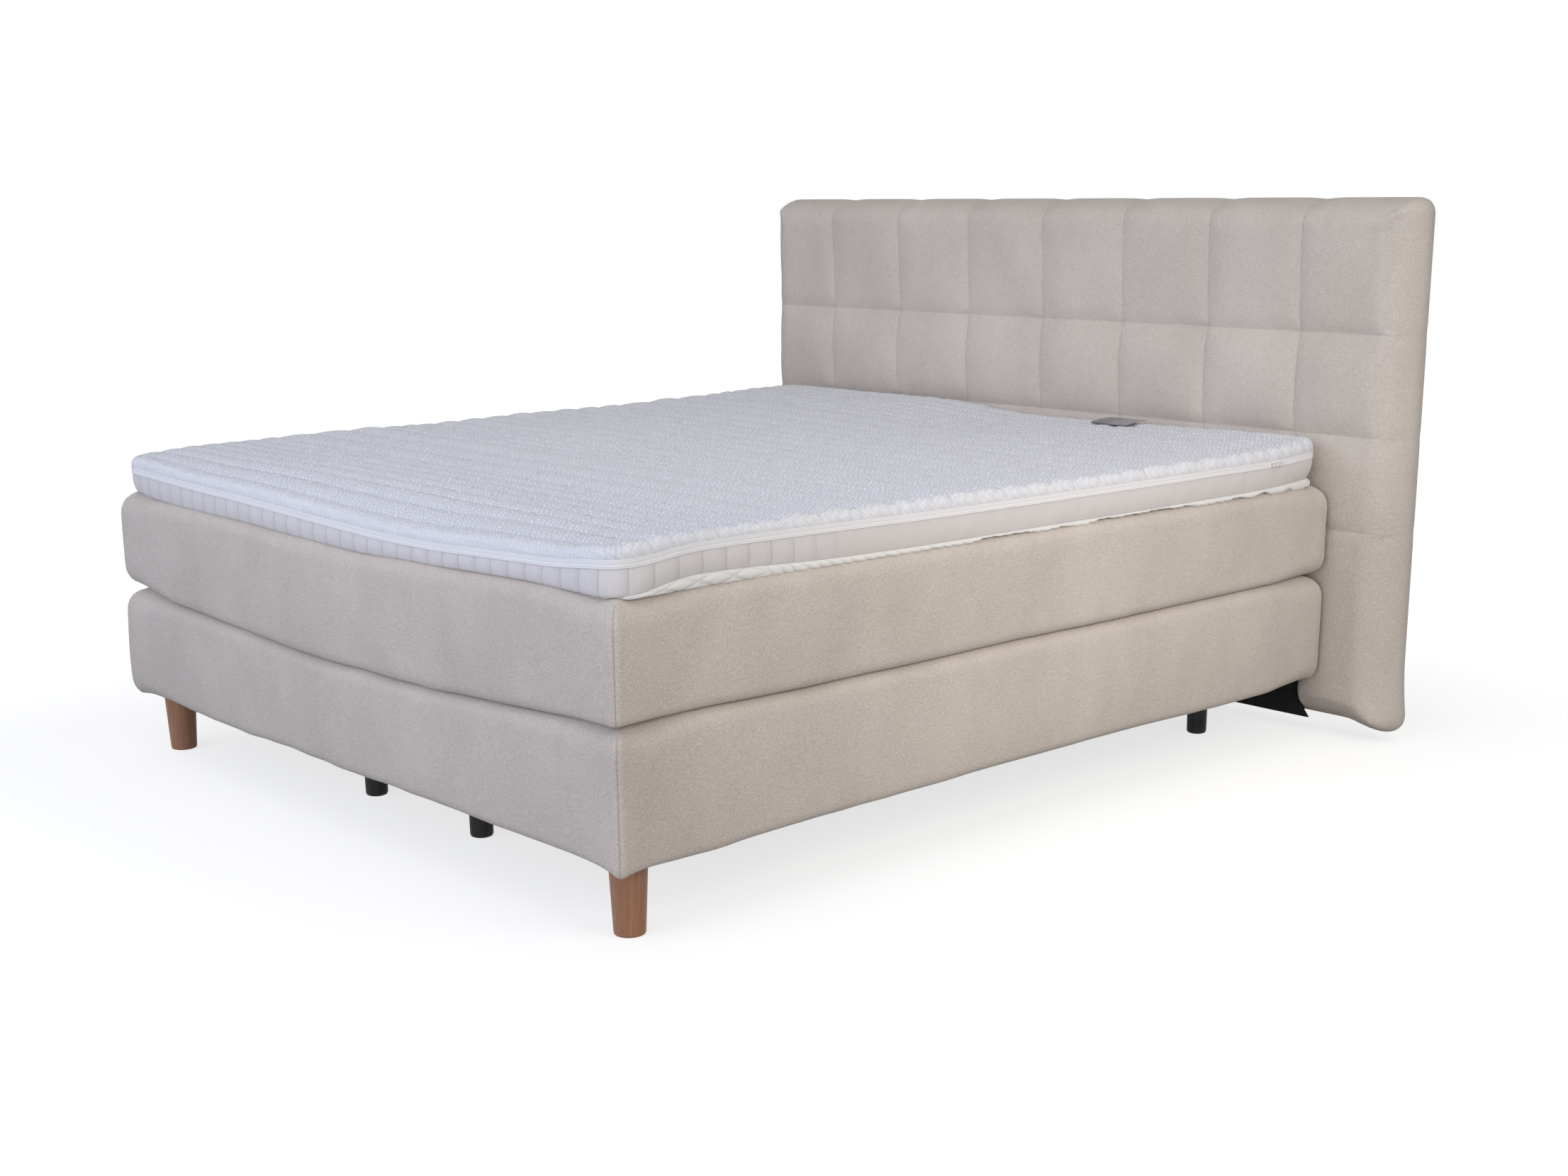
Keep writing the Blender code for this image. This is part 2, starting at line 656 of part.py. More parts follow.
def make_legs(finish):
    """Tapered wooden legs at the foot corners on steel studs, and moulded support legs."""
    wooden, support = leg_places()
    stud_top = RAIL_Z + BEARER_HEIGHT
    bore_top = LEG_HEIGHT
    bore = STUD_RADIUS + CLEARANCE
    bore_floor = LEG_HEIGHT - STUD_IN_LEG
    wood_profile = [
        (0, bore_floor),
        (bore, bore_floor),
        (bore, bore_top),
        (WOOD_LEG_TOP_RADIUS, bore_top),
    ] + foot_arc(WOOD_LEG_FOOT_RADIUS, WOOD_LEG_FOOT_ROUND)
    for name, (x, y) in wooden.items():
        turned("wooden_leg_" + name, finish["beech"], wood_profile, WOOD_LEG_STEPS, (x, y, 0))
        bm = bmesh.new()
        foot = bore_floor + CLEARANCE
        rod(bm, (x, y, foot), (0, 0, 1), STUD_RADIUS, stud_top - foot, STUD_STEPS)
        add_object("wooden_leg_stud_" + name, bm, finish["steel"])
    lower_radius = SUPPORT_LEG_RADIUS - SUPPORT_LEG_TAPER
    support_profile = [
        (0, stud_top),
        (STUD_RADIUS, stud_top),
        (STUD_RADIUS, bore_top),
        (SUPPORT_LEG_RADIUS, bore_top),
    ] + foot_arc(lower_radius, SUPPORT_LEG_FOOT_ROUND)
    for name, (x, y) in support.items():
        obj_name = "support_leg_" + name
        plastic = finish["black_plastic"]
        turned(obj_name, plastic, support_profile, SUPPORT_LEG_STEPS, (x, y, 0))
    bm = bmesh.new()
    for x, y in list(wooden.values()) + list(support.values()):
        length = stud_top + CUT_OVERRUN - LEG_HEIGHT
        radius = STUD_RADIUS + 2 * CLEARANCE
        rod(bm, (x, y, LEG_HEIGHT), (0, 0, 1), radius, length, SUPPORT_LEG_STEPS)
    return cutter("stud_holes", bm)


# Mattress


def mattress_profile():
    radii = (MATTRESS_RADIUS, MATTRESS_RADIUS)
    return edge_profile(MATTRESS_Z, MATTRESS_TOP_Z, radii, (EDGE_DROOP, 0), MATTRESS_CROWN)


def make_mattress(finish):
    outer = mattress_profile()
    hem = (MATTRESS_HEM_WIDTH, MATTRESS_Z, 0)
    cap = (CROWN_INSET, MATTRESS_TOP_Z, 0)
    skin = [hem] + outer
    inner = drawn_in(skin, COVER_THICKNESS)
    inner_cap = (CROWN_INSET, MATTRESS_TOP_Z - COVER_THICKNESS, 0)
    stack = [inner_cap] + inner[::-1] + skin + [cap]
    loft("mattress_cover", finish["velvet"], rings_of(stack))

    fill = drawn_in(outer, COVER_THICKNESS + CLEARANCE)
    half_x = HALF_X - MATTRESS_HEM_WIDTH - CLEARANCE
    half_y = HALF_Y - MATTRESS_HEM_WIDTH - CLEARANCE
    low = (-half_x, BED_Y - half_y, MATTRESS_Z)
    high = (half_x, BED_Y + half_y, MATTRESS_Z + COVER_THICKNESS)
    board("mattress_bottom_panel", finish["felt"], low, high, bevel=0)

    low_top = MATTRESS_SPRING_Z - CLEARANCE
    flat = fill[0][0]
    side, _, droop = fill[3]
    stack = [(flat, MATTRESS_LOW_FOAM_Z, 0), fill[1], fill[2]]
    stack += [(side, low_top, droop), (flat, low_top, 0)]
    loft("mattress_bottom_foam", finish["foam"], rings_of(stack))

    wall = fill[4][0]
    core_inset = wall + MATTRESS_EDGE_FOAM
    spring_top = MATTRESS_TOP_FOAM_Z - CLEARANCE
    stack = [
        (flat, MATTRESS_SPRING_Z, 0),
        (side, MATTRESS_SPRING_Z, droop),
        (wall, fill[4][1], fill[4][2]),
        (fill[5][0], spring_top, 0),
    ]
    core_side = [(core_inset, spring_top, 0), (core_inset, MATTRESS_SPRING_Z, 0)]
    stack = rings_of(stack) + rings_of(core_side, corner=0)
    loft("mattress_edge_foam", finish["foam"], stack, endless=True)
    core_x = HALF_X - core_inset - CLEARANCE
    core_y = HALF_Y - core_inset - CLEARANCE
    pocket = finish["spring_pocket"]
    height = MATTRESS_SPRING_HEIGHT
    spring_block("mattress_spring_core", pocket, core_x, core_y, MATTRESS_SPRING_Z, height)

    top = MATTRESS_TOP_Z - COVER_THICKNESS - CLEARANCE
    stack = [(fill[5][0], MATTRESS_TOP_FOAM_Z, 0)] + fill[5:] + [(CROWN_INSET, top, 0)]
    loft("mattress_top_foam", finish["foam"], rings_of(stack))


# Topper


def topper_rings(profile, corner=TOPPER_CORNER):
    half_x = HALF_X - TOPPER_INSET
    half_y = HALF_Y - TOPPER_INSET
    return rings_of([(*point, 0) for point in profile], half_x, half_y, corner)


def topper_band(name, finish, low, height, proud):
    """A band of cloth sewn round the topper."""
    stack = [(-proud, low), (-proud, low + height)]
    stack += [(TOPPER_FABRIC, low + height), (TOPPER_FABRIC, low)]
    return loft(name, finish, topper_rings(stack), endless=True)


def channel_rows(half_y):
    """Rows of the quilted sheet from foot to head: (share along, 1 on a crest or 0 in a seam)."""
    place = FIRST_SEAM_FROM_FOOT
    rows = [(-1.0, 0), (place / half_y - 1, 0)]
    for count, width in CHANNEL_ZONES:
        for _ in range(count):
            rows.append(((place + width / 2) / half_y - 1, 1))
            place += width
            rows.append((place / half_y - 1, 0))
    rows.append((1.0, 0))
    return rows


def make_topper_quilt(finish):
    """Quilted top of the topper: sewn channels across the bed, rounded over its edge."""
    half_x = HALF_X - TOPPER_INSET
    half_y = HALF_Y - TOPPER_INSET
    rows = channel_rows(half_y)
    bm = grid_sheet(TOPPER_COLUMN_SHARES, [share for share, _ in rows])
    crest_of = {round(share, 5): crest for share, crest in rows}

    def side_at(y):
        past = max(0, abs(y) - (half_y - TOPPER_CORNER))
        return half_x - TOPPER_CORNER + math.sqrt(max(0, TOPPER_CORNER**2 - past**2))

    def plan_of(x, y):
        if abs(y) > half_y - LEAST_CORNER:
            return x, y
        return math.copysign(side_at(y), x), y

    for vert in bm.verts:
        u, v = vert.co.x, vert.co.y
        crest = crest_of[round(v, 5)]
        y = v * half_y
        rim = abs(u) == 1 or abs(v) == 1
        scallop = CHANNEL_SCALLOP * (1 - crest) if abs(u) == 1 else 0
        height = TOPPER_TOP_Z + TOPPER_CROWN * (1 - u * u) * (1 - v * v)
        height -= CHANNEL_DEPTH * (1 - crest)
        if rim:
            height = TOPPER_TOP_Z - TOPPER_QUILT_ROUND
        vert.co = (u * (side_at(y) - scallop), y, height)
    inner = TOPPER_FABRIC
    back = QUILT_Z + TOPPER_QUILT_BACK
    steps = ((0, QUILT_Z), (inner, QUILT_Z), (inner, back))
    wrap_rim(bm, half_x, half_y, steps, plan_of)
    return smooth(add_object("topper_top_cover", bm, finish["topper_knit"], (0, BED_Y, 0)))


def make_topper(finish):
    make_topper_quilt(finish)
    topper_band("topper_mesh_border", finish["topper_mesh"], MESH_Z, TOPPER_MESH_HEIGHT, 0)
    tape = finish["zip_tape"]
    topper_band("topper_zip_tape", tape, ZIP_Z, ZIP_TAPE_HEIGHT, ZIP_TAPE_PROUD)

    top = TOPPER_Z + TOPPER_LOW_HEIGHT
    puff = TOPPER_LOW_PUFF
    middle = TOPPER_Z + TOPPER_LOW_HEIGHT / 2
    floor = TOPPER_Z + TOPPER_FABRIC
    stack = [(CROWN_INSET, TOPPER_Z), (TOPPER_LOW_HEIGHT / 2, TOPPER_Z), (-puff, middle)]
    stack += [(0, top), (TOPPER_FABRIC, top), (TOPPER_FABRIC + puff, middle)]
    stack += [(TOPPER_LOW_HEIGHT / 2 + TOPPER_FABRIC, floor), (CROWN_INSET, floor)]
    loft("topper_bottom_cover", finish["topper_knit"], topper_rings(stack))

    core_floor = floor + CLEARANCE
    core_top = QUILT_Z + TOPPER_QUILT_BACK - CLEARANCE
    core_inset = TOPPER_FABRIC + CLEARANCE
    round_in = TOPPER_LOW_HEIGHT / 2 + TOPPER_FABRIC
    stack = [
        (round_in, core_floor),
        (core_inset + puff, middle + CLEARANCE),
        (core_inset, top + CLEARANCE),
        (core_inset, core_top),
        (CROWN_INSET, core_top),
    ]
    loft("topper_core", finish["foam"], topper_rings(stack, TOPPER_CORE_CORNER))


def make_label(finish):
    """Blank care label sewn in at the head seam and turned over the topper's edge."""
    near = HEAD_Y - TOPPER_INSET + CLEARANCE
    far = near + LABEL_THICKNESS
    tip = near - LABEL_DEPTH
    seam = QUILT_Z + LABEL_SEAM_RISE
    under = TOPPER_TOP_Z + LABEL_LIFT
    over = under + LABEL_THICKNESS
    x = LABEL_OFFSET - LABEL_WIDTH / 2
    section = ((near, seam), (far, seam), (far, over), (tip, over), (tip, under), (near, under))
    bm = prism([(x, y, z) for y, z in section], (LABEL_WIDTH, 0, 0))
    return add_object("topper_label", bm, finish["label_satin"])


# Zip slider and pull


def slider_place():
    x = HALF_X - TOPPER_INSET + ZIP_TAPE_PROUD + CLEARANCE
    y = HEAD_Y - SLIDER_FROM_HEAD
    return Vector((x, y, ZIP_Z + ZIP_TAPE_HEIGHT / 2))


def make_slider(finish):
    """Slider on the zip's outer face, with the arch that holds its pull."""
    centre = slider_place()
    bm = bmesh.new()
    bmesh.ops.create_cube(bm, size=1.0)
    bmesh.ops.scale(bm, vec=(SLIDER_DEPTH, SLIDER_LENGTH, SLIDER_HEIGHT), verts=bm.verts)
    for vert in bm.verts:
        if vert.co.y > 0:
            vert.co.z *= SLIDER_NOSE_SHARE
    bmesh.ops.translate(bm, vec=(SLIDER_DEPTH / 2, 0, 0), verts=bm.verts)
    body = add_object("zip_slider", bm, finish["zip_metal"], centre)

    half = ARCH_SPAN / 2
    step = ARCH_RISE / 2
    wall = ARCH_THICKNESS
    outer = [(-wall, -half), (step, -half), (ARCH_RISE, step - half)]
    outer += [(ARCH_RISE, half - step), (step, half), (-wall, half)]
    inner = [(-wall, half - wall), (step, half - wall), (ARCH_RISE - wall, half - step)]
    inner += [(ARCH_RISE - wall, step - half), (step, wall - half), (-wall, wall - half)]
    section = [(SLIDER_DEPTH + x, y, -ARCH_WIDTH / 2) for x, y in outer + inner]
    arch = prism(section, (0, 0, ARCH_WIDTH))
    bridge = cutter("zip_slider_arch", arch)
    bridge.location = centre
    join = body.modifiers.new("arch", "BOOLEAN")
    join.operation = "UNION"
    join.solver = "EXACT"
    join.object = bridge


def pull_axis():
    """Axis of the pull's bar, under the slider's arch."""
    room = ARCH_RISE - ARCH_THICKNESS
    return slider_place() + Vector((SLIDER_DEPTH + room / 2, 0, 0))


def make_pull(finish):
    """Flat pull with a slot for the arch; at rest it lies along the zip towards the head."""
    half_bar = PULL_BAR / 2
    bm = bmesh.new()
    bmesh.ops.create_cube(bm, size=1.0)
    bmesh.ops.scale(bm, vec=(PULL_THICKNESS, PULL_LENGTH, PULL_WIDTH), verts=bm.verts)
    bmesh.ops.translate(bm, vec=(0, PULL_LENGTH / 2 - half_bar, 0), verts=bm.verts)
    pull = add_object("zip_pull", bm, finish["zip_metal"], pull_axis())
    slot = bmesh.new()
    bmesh.ops.create_cube(slot, size=1.0)
    slot_end = math.hypot(ARCH_SPAN / 2, ARCH_RISE / 2) + PULL_SLOT_MARGIN
    slot_length = slot_end - half_bar
    deep = PULL_THICKNESS + CUT_OVERRUN
    bmesh.ops.scale(slot, vec=(deep, slot_length, PULL_SLOT_WIDTH), verts=slot.verts)
    bmesh.ops.translate(slot, vec=(0, half_bar + slot_length / 2, 0), verts=slot.verts)
    tool = cutter("pull_slot", slot)
    tool.location = pull_axis()
    cut(pull, tool)


# Headboard


def tuft_shape(share):
    """Rise of the padding between two seams: 0 at a seam, 1 in the middle."""
    return 1 - abs(2 * share - 1) ** 3


def headboard_lines():
    """Grid lines of the padded front: places across and up, each with its rise between seams."""
    columns = []
    for column in range(TUFT_COLUMNS):
        for share in TUFT_SHARES:
            place = -1 + 2 * (column + share) / TUFT_COLUMNS
            columns.append((place, tuft_shape(share)))
    columns.append((1.0, 0))
    levels = [HEADBOARD_FLOOR_GAP, *SEAM_HEIGHTS, HEADBOARD_TOP_Z]
    middle = (HEADBOARD_FLOOR_GAP + HEADBOARD_TOP_Z) / 2
    half = HEADBOARD_HEIGHT / 2
    rows = []
    first_tufted = len(levels) - 1 - TUFTED_ROWS
    for band, (low, high) in enumerate(zip(levels, levels[1:])):
        for share in TUFT_SHARES:
            place = (low + share * (high - low) - middle) / half
            tufted = band > first_tufted or (band == first_tufted and share > 0)
            rows.append((place, tuft_shape(share), tufted))
    rows.append((1.0, 0, True))
    return columns, rows


def lower_outline(grow):
    """Outline of the plain lower panel seen from the front, as (x, z) points."""
    foot = HEADBOARD_FLOOR_GAP - grow
    slant = HEADBOARD_FLOOR_GAP + LOWER_CLOTH_SLANT_HEIGHT
    top = HEADBOARD_FLOOR_GAP + LOWER_CLOTH_HEIGHT + grow
    wide = LOWER_CLOTH_FOOT_HALF_WIDTH + grow
    narrow = LOWER_CLOTH_HALF_WIDTH + grow
    right = [(wide, foot), (narrow, slant), (narrow, top)]
    return right + [(-x, z) for x, z in reversed(right)]


def box(low, high):
    """A bmesh box between two corners."""
    bm = bmesh.new()
    bmesh.ops.create_cube(bm, size=1.0)
    size = Vector(high) - Vector(low)
    bmesh.ops.scale(bm, vec=size, verts=bm.verts)
    bmesh.ops.translate(bm, vec=(Vector(low) + Vector(high)) / 2, verts=bm.verts)
    return bm


def make_headboard_cover(finish):
    """Tufted front wrapped round the sides, with a hem on the back and a notch for the base."""
    half_x = HEADBOARD_WIDTH / 2
    half_z = HEADBOARD_HEIGHT / 2
    columns, rows = headboard_lines()
    bm = grid_sheet([c[0] for c in columns], [r[0] for r in rows])
    across = {round(c[0], 5): c[1] for c in columns}
    upward = {round(r[0], 5): (r[1], r[2]) for r in rows}
    for vert in bm.verts:
        u, v = vert.co.x, vert.co.y
        rise_x = across[round(u, 5)]
        rise_z, tufted = upward[round(v, 5)]
        if not tufted:
            rise_x = 1
        rise = (rise_x + rise_z + 2 * rise_x * rise_z) / 4
        depth = HEADBOARD_TUFT_DEPTH * (1 - rise)
        if abs(u) == 1 or abs(v) == 1:
            depth = HEADBOARD_EDGE_ROUND
        vert.co = (u * half_x, v * half_z, -depth)
    hem_front = HEADBOARD_FRONT_Y - HEADBOARD_HEM_Y
    hem_back = hem_front - HEADBOARD_HEM
    inner = HEADBOARD_SIDE_QUILT
    steps = (
        (0, hem_back),
        (HEADBOARD_HEM_WIDTH, hem_back),
        (HEADBOARD_HEM_WIDTH, hem_front),
        (inner, hem_front),
        (inner, -HEADBOARD_QUILT),
    )
    wrap_rim(bm, half_x, half_z, steps, lambda x, y: (x, y))
    cover = smooth(add_object("headboard_cover", bm, finish["velvet"]))
    cover.rotation_euler = (math.radians(90), 0, 0)
    cover.location = (0, HEADBOARD_FRONT_Y, (HEADBOARD_FLOOR_GAP + HEADBOARD_TOP_Z) / 2)
    start = HEADBOARD_FRONT_Y - CUT_OVERRUN
    end = HEADBOARD_CLOTH_Y + CUT_OVERRUN
    outline_points = [(x, start, z) for x, z in lower_outline(CLEARANCE)]
    cut(cover, cutter("lower_notch", prism(outline_points, (0, end - start, 0))))


def make_lower_cloth(finish):
    """Plain black cloth on the lower middle, turned under the headboard to its back."""
    start = HEADBOARD_FRONT_Y + LOWER_CLOTH_RECESS
    end = HEADBOARD_HEM_Y + HEADBOARD_HEM
    outline_points = [(x, start, z) for x, z in lower_outline(0)]
    bm = prism(outline_points, (0, end - start, 0))
    cloth = add_object("headboard_lower_cloth", bm, finish["black_cloth"])
    half = LOWER_CLOTH_FOOT_HALF_WIDTH + CUT_OVERRUN
    low = (-half, HEADBOARD_FOAM_Y - CLEARANCE, HEADBOARD_FLOOR_GAP + HEADBOARD_SIDE_QUILT)
    high = (half, end + CUT_OVERRUN, HEADBOARD_TOP_Z)
    cut(cloth, cutter("headboard_core", box(low, high)))
    return cloth


def make_headboard_body(finish):
    """Timber frame, panel and foam behind the cover, with the rail that the brackets bolt to."""
    wood = finish["spruce"]
    inset = HEADBOARD_SIDE_QUILT + CLEARANCE
    out_x = HEADBOARD_WIDTH / 2 - inset
    low_z = HEADBOARD_FLOOR_GAP + inset
    high_z = HEADBOARD_TOP_Z - inset
    front = HEADBOARD_FRAME_Y
    back = front + HEADBOARD_FRAME
    post_x = out_x - HEADBOARD_POST_WIDTH
    for name, side in (("left", -1), ("right", 1)):
        xs = sorted((side * post_x, side * out_x))
        low = (xs[0], front, low_z)
        board("headboard_post_" + name, wood, low, (xs[1], back, high_z))
    rail_x = post_x - CLEARANCE
    rails = {
        "bottom": (low_z, low_z + HEADBOARD_RAIL_HEIGHT),
        "top": (high_z - HEADBOARD_RAIL_HEIGHT, high_z),
    }
    for name, (low, high) in rails.items():
        board(f"headboard_{name}_rail", wood, (-rail_x, front, low), (rail_x, back, high))
    low = (-out_x, HEADBOARD_PANEL_Y, low_z)
    high = (out_x, HEADBOARD_PANEL_Y + HEADBOARD_PANEL, high_z)
    board("headboard_panel", finish["hardboard"], low, high, bevel=0)
    low = (-out_x, HEADBOARD_FOAM_Y, low_z)
    high = (out_x, HEADBOARD_FOAM_Y + HEADBOARD_FOAM, high_z)
    foam = board("headboard_foam", finish["foam"], low, high, bevel=0)
    half = FIXING_RAIL_HALF_LENGTH
    rail_low = bolt_height() - FIXING_RAIL_HEIGHT / 2
    low = Vector((-half, HEADBOARD_FOAM_Y, rail_low))
    high = Vector((half, HEADBOARD_FOAM_Y + HEADBOARD_FOAM, rail_low + FIXING_RAIL_HEIGHT))
    rail = board("headboard_fixing_rail", wood, low, high)
    room = Vector((CLEARANCE, CUT_OVERRUN, CLEARANCE))
    cut(foam, cutter("fixing_rail_room", box(low - room, high + room)))
    cloth_x = HEADBOARD_WIDTH / 2 - HEADBOARD_BACK_CLOTH_INSET
    low_z = HEADBOARD_FLOOR_GAP + HEADBOARD_BACK_CLOTH_INSET
    high_z = HEADBOARD_TOP_Z - HEADBOARD_BACK_CLOTH_INSET
    low = (-cloth_x, HEADBOARD_CLOTH_Y, low_z)
    high = (cloth_x, HEADBOARD_CLOTH_Y + HEADBOARD_BACK_CLOTH, high_z)
    board("headboard_back_cloth", finish["black_cloth"], low, high, bevel=0)
    return rail


# Brackets, bolts and screws between base and headboard


def bracket_low():
    return LEG_HEIGHT - BRACKET_PLATE


def bolt_height():
    return bracket_low() + BRACKET_RISE - BOLT_FROM_TOP


def fastener(name, finish, reach, place, turn):
    """A headed bolt whose shank reaches along its own +Z from the underside of its head."""
    profile = [
        (0, reach),
        (BOLT_RADIUS, reach),
        (BOLT_RADIUS, 0),
        (BOLT_HEAD_RADIUS, 0),
        (BOLT_HEAD_RADIUS, -BOLT_HEAD_HEIGHT),
        (0, -BOLT_HEAD_HEIGHT),
    ]
    bolt = turned(name, finish["steel"], profile, BOLT_STEPS, place)
    bolt.rotation_euler = (turn, 0, 0)


def make_brackets(finish):
    """Angle brackets under the base; returns the cutters for their bolts and screws."""
    low = bracket_low()
    back = HEADBOARD_FRONT_Y + LOWER_CLOTH_RECESS - CLEARANCE
    front = back - BRACKET_PLATE
    start = HEAD_Y - BRACKET_REACH
    top = low + BRACKET_RISE
    shelf = low + BRACKET_PLATE
    section = ((start, low), (back, low), (back, top), (front, top), (front, shelf))
    section += ((start, shelf),)
    screw_y = HEAD_Y - FRAME_INSET - RAIL_THICKNESS / 2
    bolt_reach = BRACKET_PLATE + HEADBOARD_FOAM_Y - back + BOLT_REACH
    screw_reach = RAIL_Z - low + SCREW_REACH
    hole = BOLT_RADIUS + CLEARANCE
    bolts = bmesh.new()
    screws = bmesh.new()
    brackets = []
    for name, side in (("left", -1), ("right", 1)):
        x = side * BRACKET_OFFSET
        edge = x - BRACKET_WIDTH / 2
        bm = prism([(edge, y, z) for y, z in section], (BRACKET_WIDTH, 0, 0))
        brackets.append(add_object("headboard_bracket_" + name, bm, finish["steel"]))
        place = Vector((x, front - CLEARANCE, bolt_height()))
        fastener("bracket_bolt_" + name, finish, bolt_reach, place, math.radians(-90))
        rod(bolts, place, (0, 1, 0), hole, bolt_reach + 2 * CLEARANCE, BOLT_STEPS)
        place = Vector((x, screw_y, low - CLEARANCE))
        fastener("bracket_screw_" + name, finish, screw_reach, place, 0)
        rod(screws, place, (0, 0, 1), hole, screw_reach + 2 * CLEARANCE, BOLT_STEPS)
    return brackets, cutter("bolt_holes", bolts), cutter("screw_holes", screws)


def main():
    clear_scene()
    finish = make_materials()
    make_base_frame(finish)
    make_base_filling(finish)
    make_base_foam(finish)
    cover = make_base_cover(finish)
    dust_cloth = make_dust_cloth(finish)
    stud_holes = make_legs(finish)
    make_mattress(finish)
    make_topper(finish)
    make_label(finish)
    make_slider(finish)
    make_pull(finish)
    make_headboard_cover(finish)
    fixing_rail = make_headboard_body(finish)
    lower_cloth = make_lower_cloth(finish)
    brackets, bolt_holes, screw_holes = make_brackets(finish)
    drilled = ("base_corner_block_left", "base_corner_block_right")
    drilled += ("base_foot_bearer", "base_head_bearer")
    for obj in [dust_cloth] + [bpy.data.objects[name] for name in drilled]:
        cut(obj, stud_holes)
    for obj in brackets + [fixing_rail, lower_cloth]:
        cut(obj, bolt_holes)
    for obj in brackets + [dust_cloth, cover, bpy.data.objects["base_head_rail"]]:
        cut(obj, screw_holes)


main()
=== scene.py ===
"""Looks of a box spring bed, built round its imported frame.

Metres, +Z up, floor at z = 0, head end towards +Y. Each soft part is a closed skin made on a lattice.
"""

import json

import bpy
import numpy as np
from mathutils import Matrix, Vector
from mathutils.bvhtree import BVHTree

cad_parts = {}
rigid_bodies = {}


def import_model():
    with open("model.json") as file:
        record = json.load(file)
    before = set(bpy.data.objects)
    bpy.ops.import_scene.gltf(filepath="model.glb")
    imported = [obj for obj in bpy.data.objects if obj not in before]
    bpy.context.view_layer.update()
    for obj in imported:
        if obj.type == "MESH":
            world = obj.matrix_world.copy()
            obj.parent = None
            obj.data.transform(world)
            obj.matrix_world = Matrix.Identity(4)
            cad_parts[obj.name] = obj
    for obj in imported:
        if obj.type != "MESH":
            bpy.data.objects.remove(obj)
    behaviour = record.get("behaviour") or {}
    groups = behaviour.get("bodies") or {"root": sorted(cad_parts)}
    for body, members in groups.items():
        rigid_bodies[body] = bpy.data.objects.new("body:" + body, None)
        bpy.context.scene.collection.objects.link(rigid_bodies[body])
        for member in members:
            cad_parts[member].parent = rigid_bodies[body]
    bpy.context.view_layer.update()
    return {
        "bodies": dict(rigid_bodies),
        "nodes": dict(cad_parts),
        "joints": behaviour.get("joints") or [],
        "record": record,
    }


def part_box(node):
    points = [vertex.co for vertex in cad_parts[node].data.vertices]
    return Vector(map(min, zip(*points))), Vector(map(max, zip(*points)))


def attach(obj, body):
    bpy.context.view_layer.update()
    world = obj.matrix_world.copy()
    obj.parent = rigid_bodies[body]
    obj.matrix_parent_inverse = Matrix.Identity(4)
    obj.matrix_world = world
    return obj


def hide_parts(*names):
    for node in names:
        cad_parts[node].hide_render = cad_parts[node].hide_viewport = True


# Sizes and places of the main pieces, in the frame's own coordinates
HALF_WIDTH = 0.900
FOOT_Y = -1.073
HEAD_Y = 0.947
MID_Y = -0.063
HALF_LENGTH = 1.010
BASE_LOW = 0.1401
BASE_TOP = 0.3849
MATTRESS_LOW = 0.3852
MATTRESS_TOP = 0.5954
TOPPER_HALF_WIDTH = 0.890
TOPPER_HALF_LENGTH = 1.000
TOPPER_CORNER = 0.050
ZIP_HALF_HEIGHT = 0.0066
QUILT_TOP = 0.6800
CHANNEL_ZONES = ((7, 0.047), (3, 0.093), (3, 0.047), (8, 0.0713), (3, 0.097), (7, 0.048))
FIRST_SEAM_Y = -1.031
BOARD_HALF_WIDTH = 1.035
BOARD_LOW = 0.036
BOARD_TOP = 1.224
BOARD_BACK = 1.0709
BOARD_SEAM_Y = 0.9885
BOARD_ROWS = (0.488, 0.702, 0.930)
BOARD_COLUMN = 0.25875

# Base and mattress: rounding, bulge, and seams down the corners
LOWER_RADIUS = 0.020
CORNER_MORE = 0.024
BASE_TOP_RADIUS = 0.026
BASE_NEAR_RADIUS = 0.012
BASE_BULGE = 0.008
MATTRESS_TOP_RADIUS = 0.030
MATTRESS_NEAR_RADIUS = 0.010
MATTRESS_BULGE = 0.006
CORNER_SEAM_DEPTH = 0.0019
CORNER_SEAM_WIDTH = 0.0018
# How dark the painted shade along the corner seams is
CORNER_SEAM_SHADE = 0.55
CORNER_ROLL = 0.0009
BASE_EAR = 0.017
MATTRESS_EAR = 0.004
FOOT_SAG = 0.026
EDGE_DROP = 0.0072
PANEL_HALF_WIDTH = 0.782
PANEL_HALF_LENGTH = 0.892
PANEL_SEAM = 0.002
PANEL_RECESS = 0.0014
SEAM_SAG_ZONE = 0.45
TOP_SAG_ZONE = 0.50
FOOT_FOLDS = ((0.018, 0.75, 0.16, 0.0032), (0.052, 0.95, 0.19, 0.0024), (0.10, 1.2, 0.16, 0.0014))

# Topper
QUILT_HEIGHT = 0.027
QUILT_CROWN = 0.004
CHANNEL_DEPTH = 0.0052
CHANNEL_SEAM = 0.0016
EDGE_RISE = 0.0285
CORNER_PULL = 0.012
SCALLOP = 0.0020
PIPING_HEIGHT = 0.0064
PIPING_RADIUS = 0.0012
PIPING_SIDES = 8
FIRST_TUCK = 0.033
TUCK_PITCH = 0.0505
FLAT_ZIP_AT_HEAD = 0.664
FLAT_MESH_AT_HEAD = 0.606
LABEL_THICKNESS = 0.0006
SPACER_PITCH = 0.0044

# Headboard
BOARD_FULLNESS = 0.0265
ROW_DEPTHS = np.array([0.0030, 0.0035, 0.0150, 0.0205, 0.0230])
COLUMN_DEPTH = 0.0062
ROW_SEAM_WIDTH = 0.0013
COLUMN_SEAM_WIDTH = 0.0014
PUCKER = 0.0015
SIDE_ROLL_RIGHT = 0.0205
SIDE_ROLL_LEFT = 0.0030
CORNER_FLARE = 0.016
CLOTH_LINE = 0.829

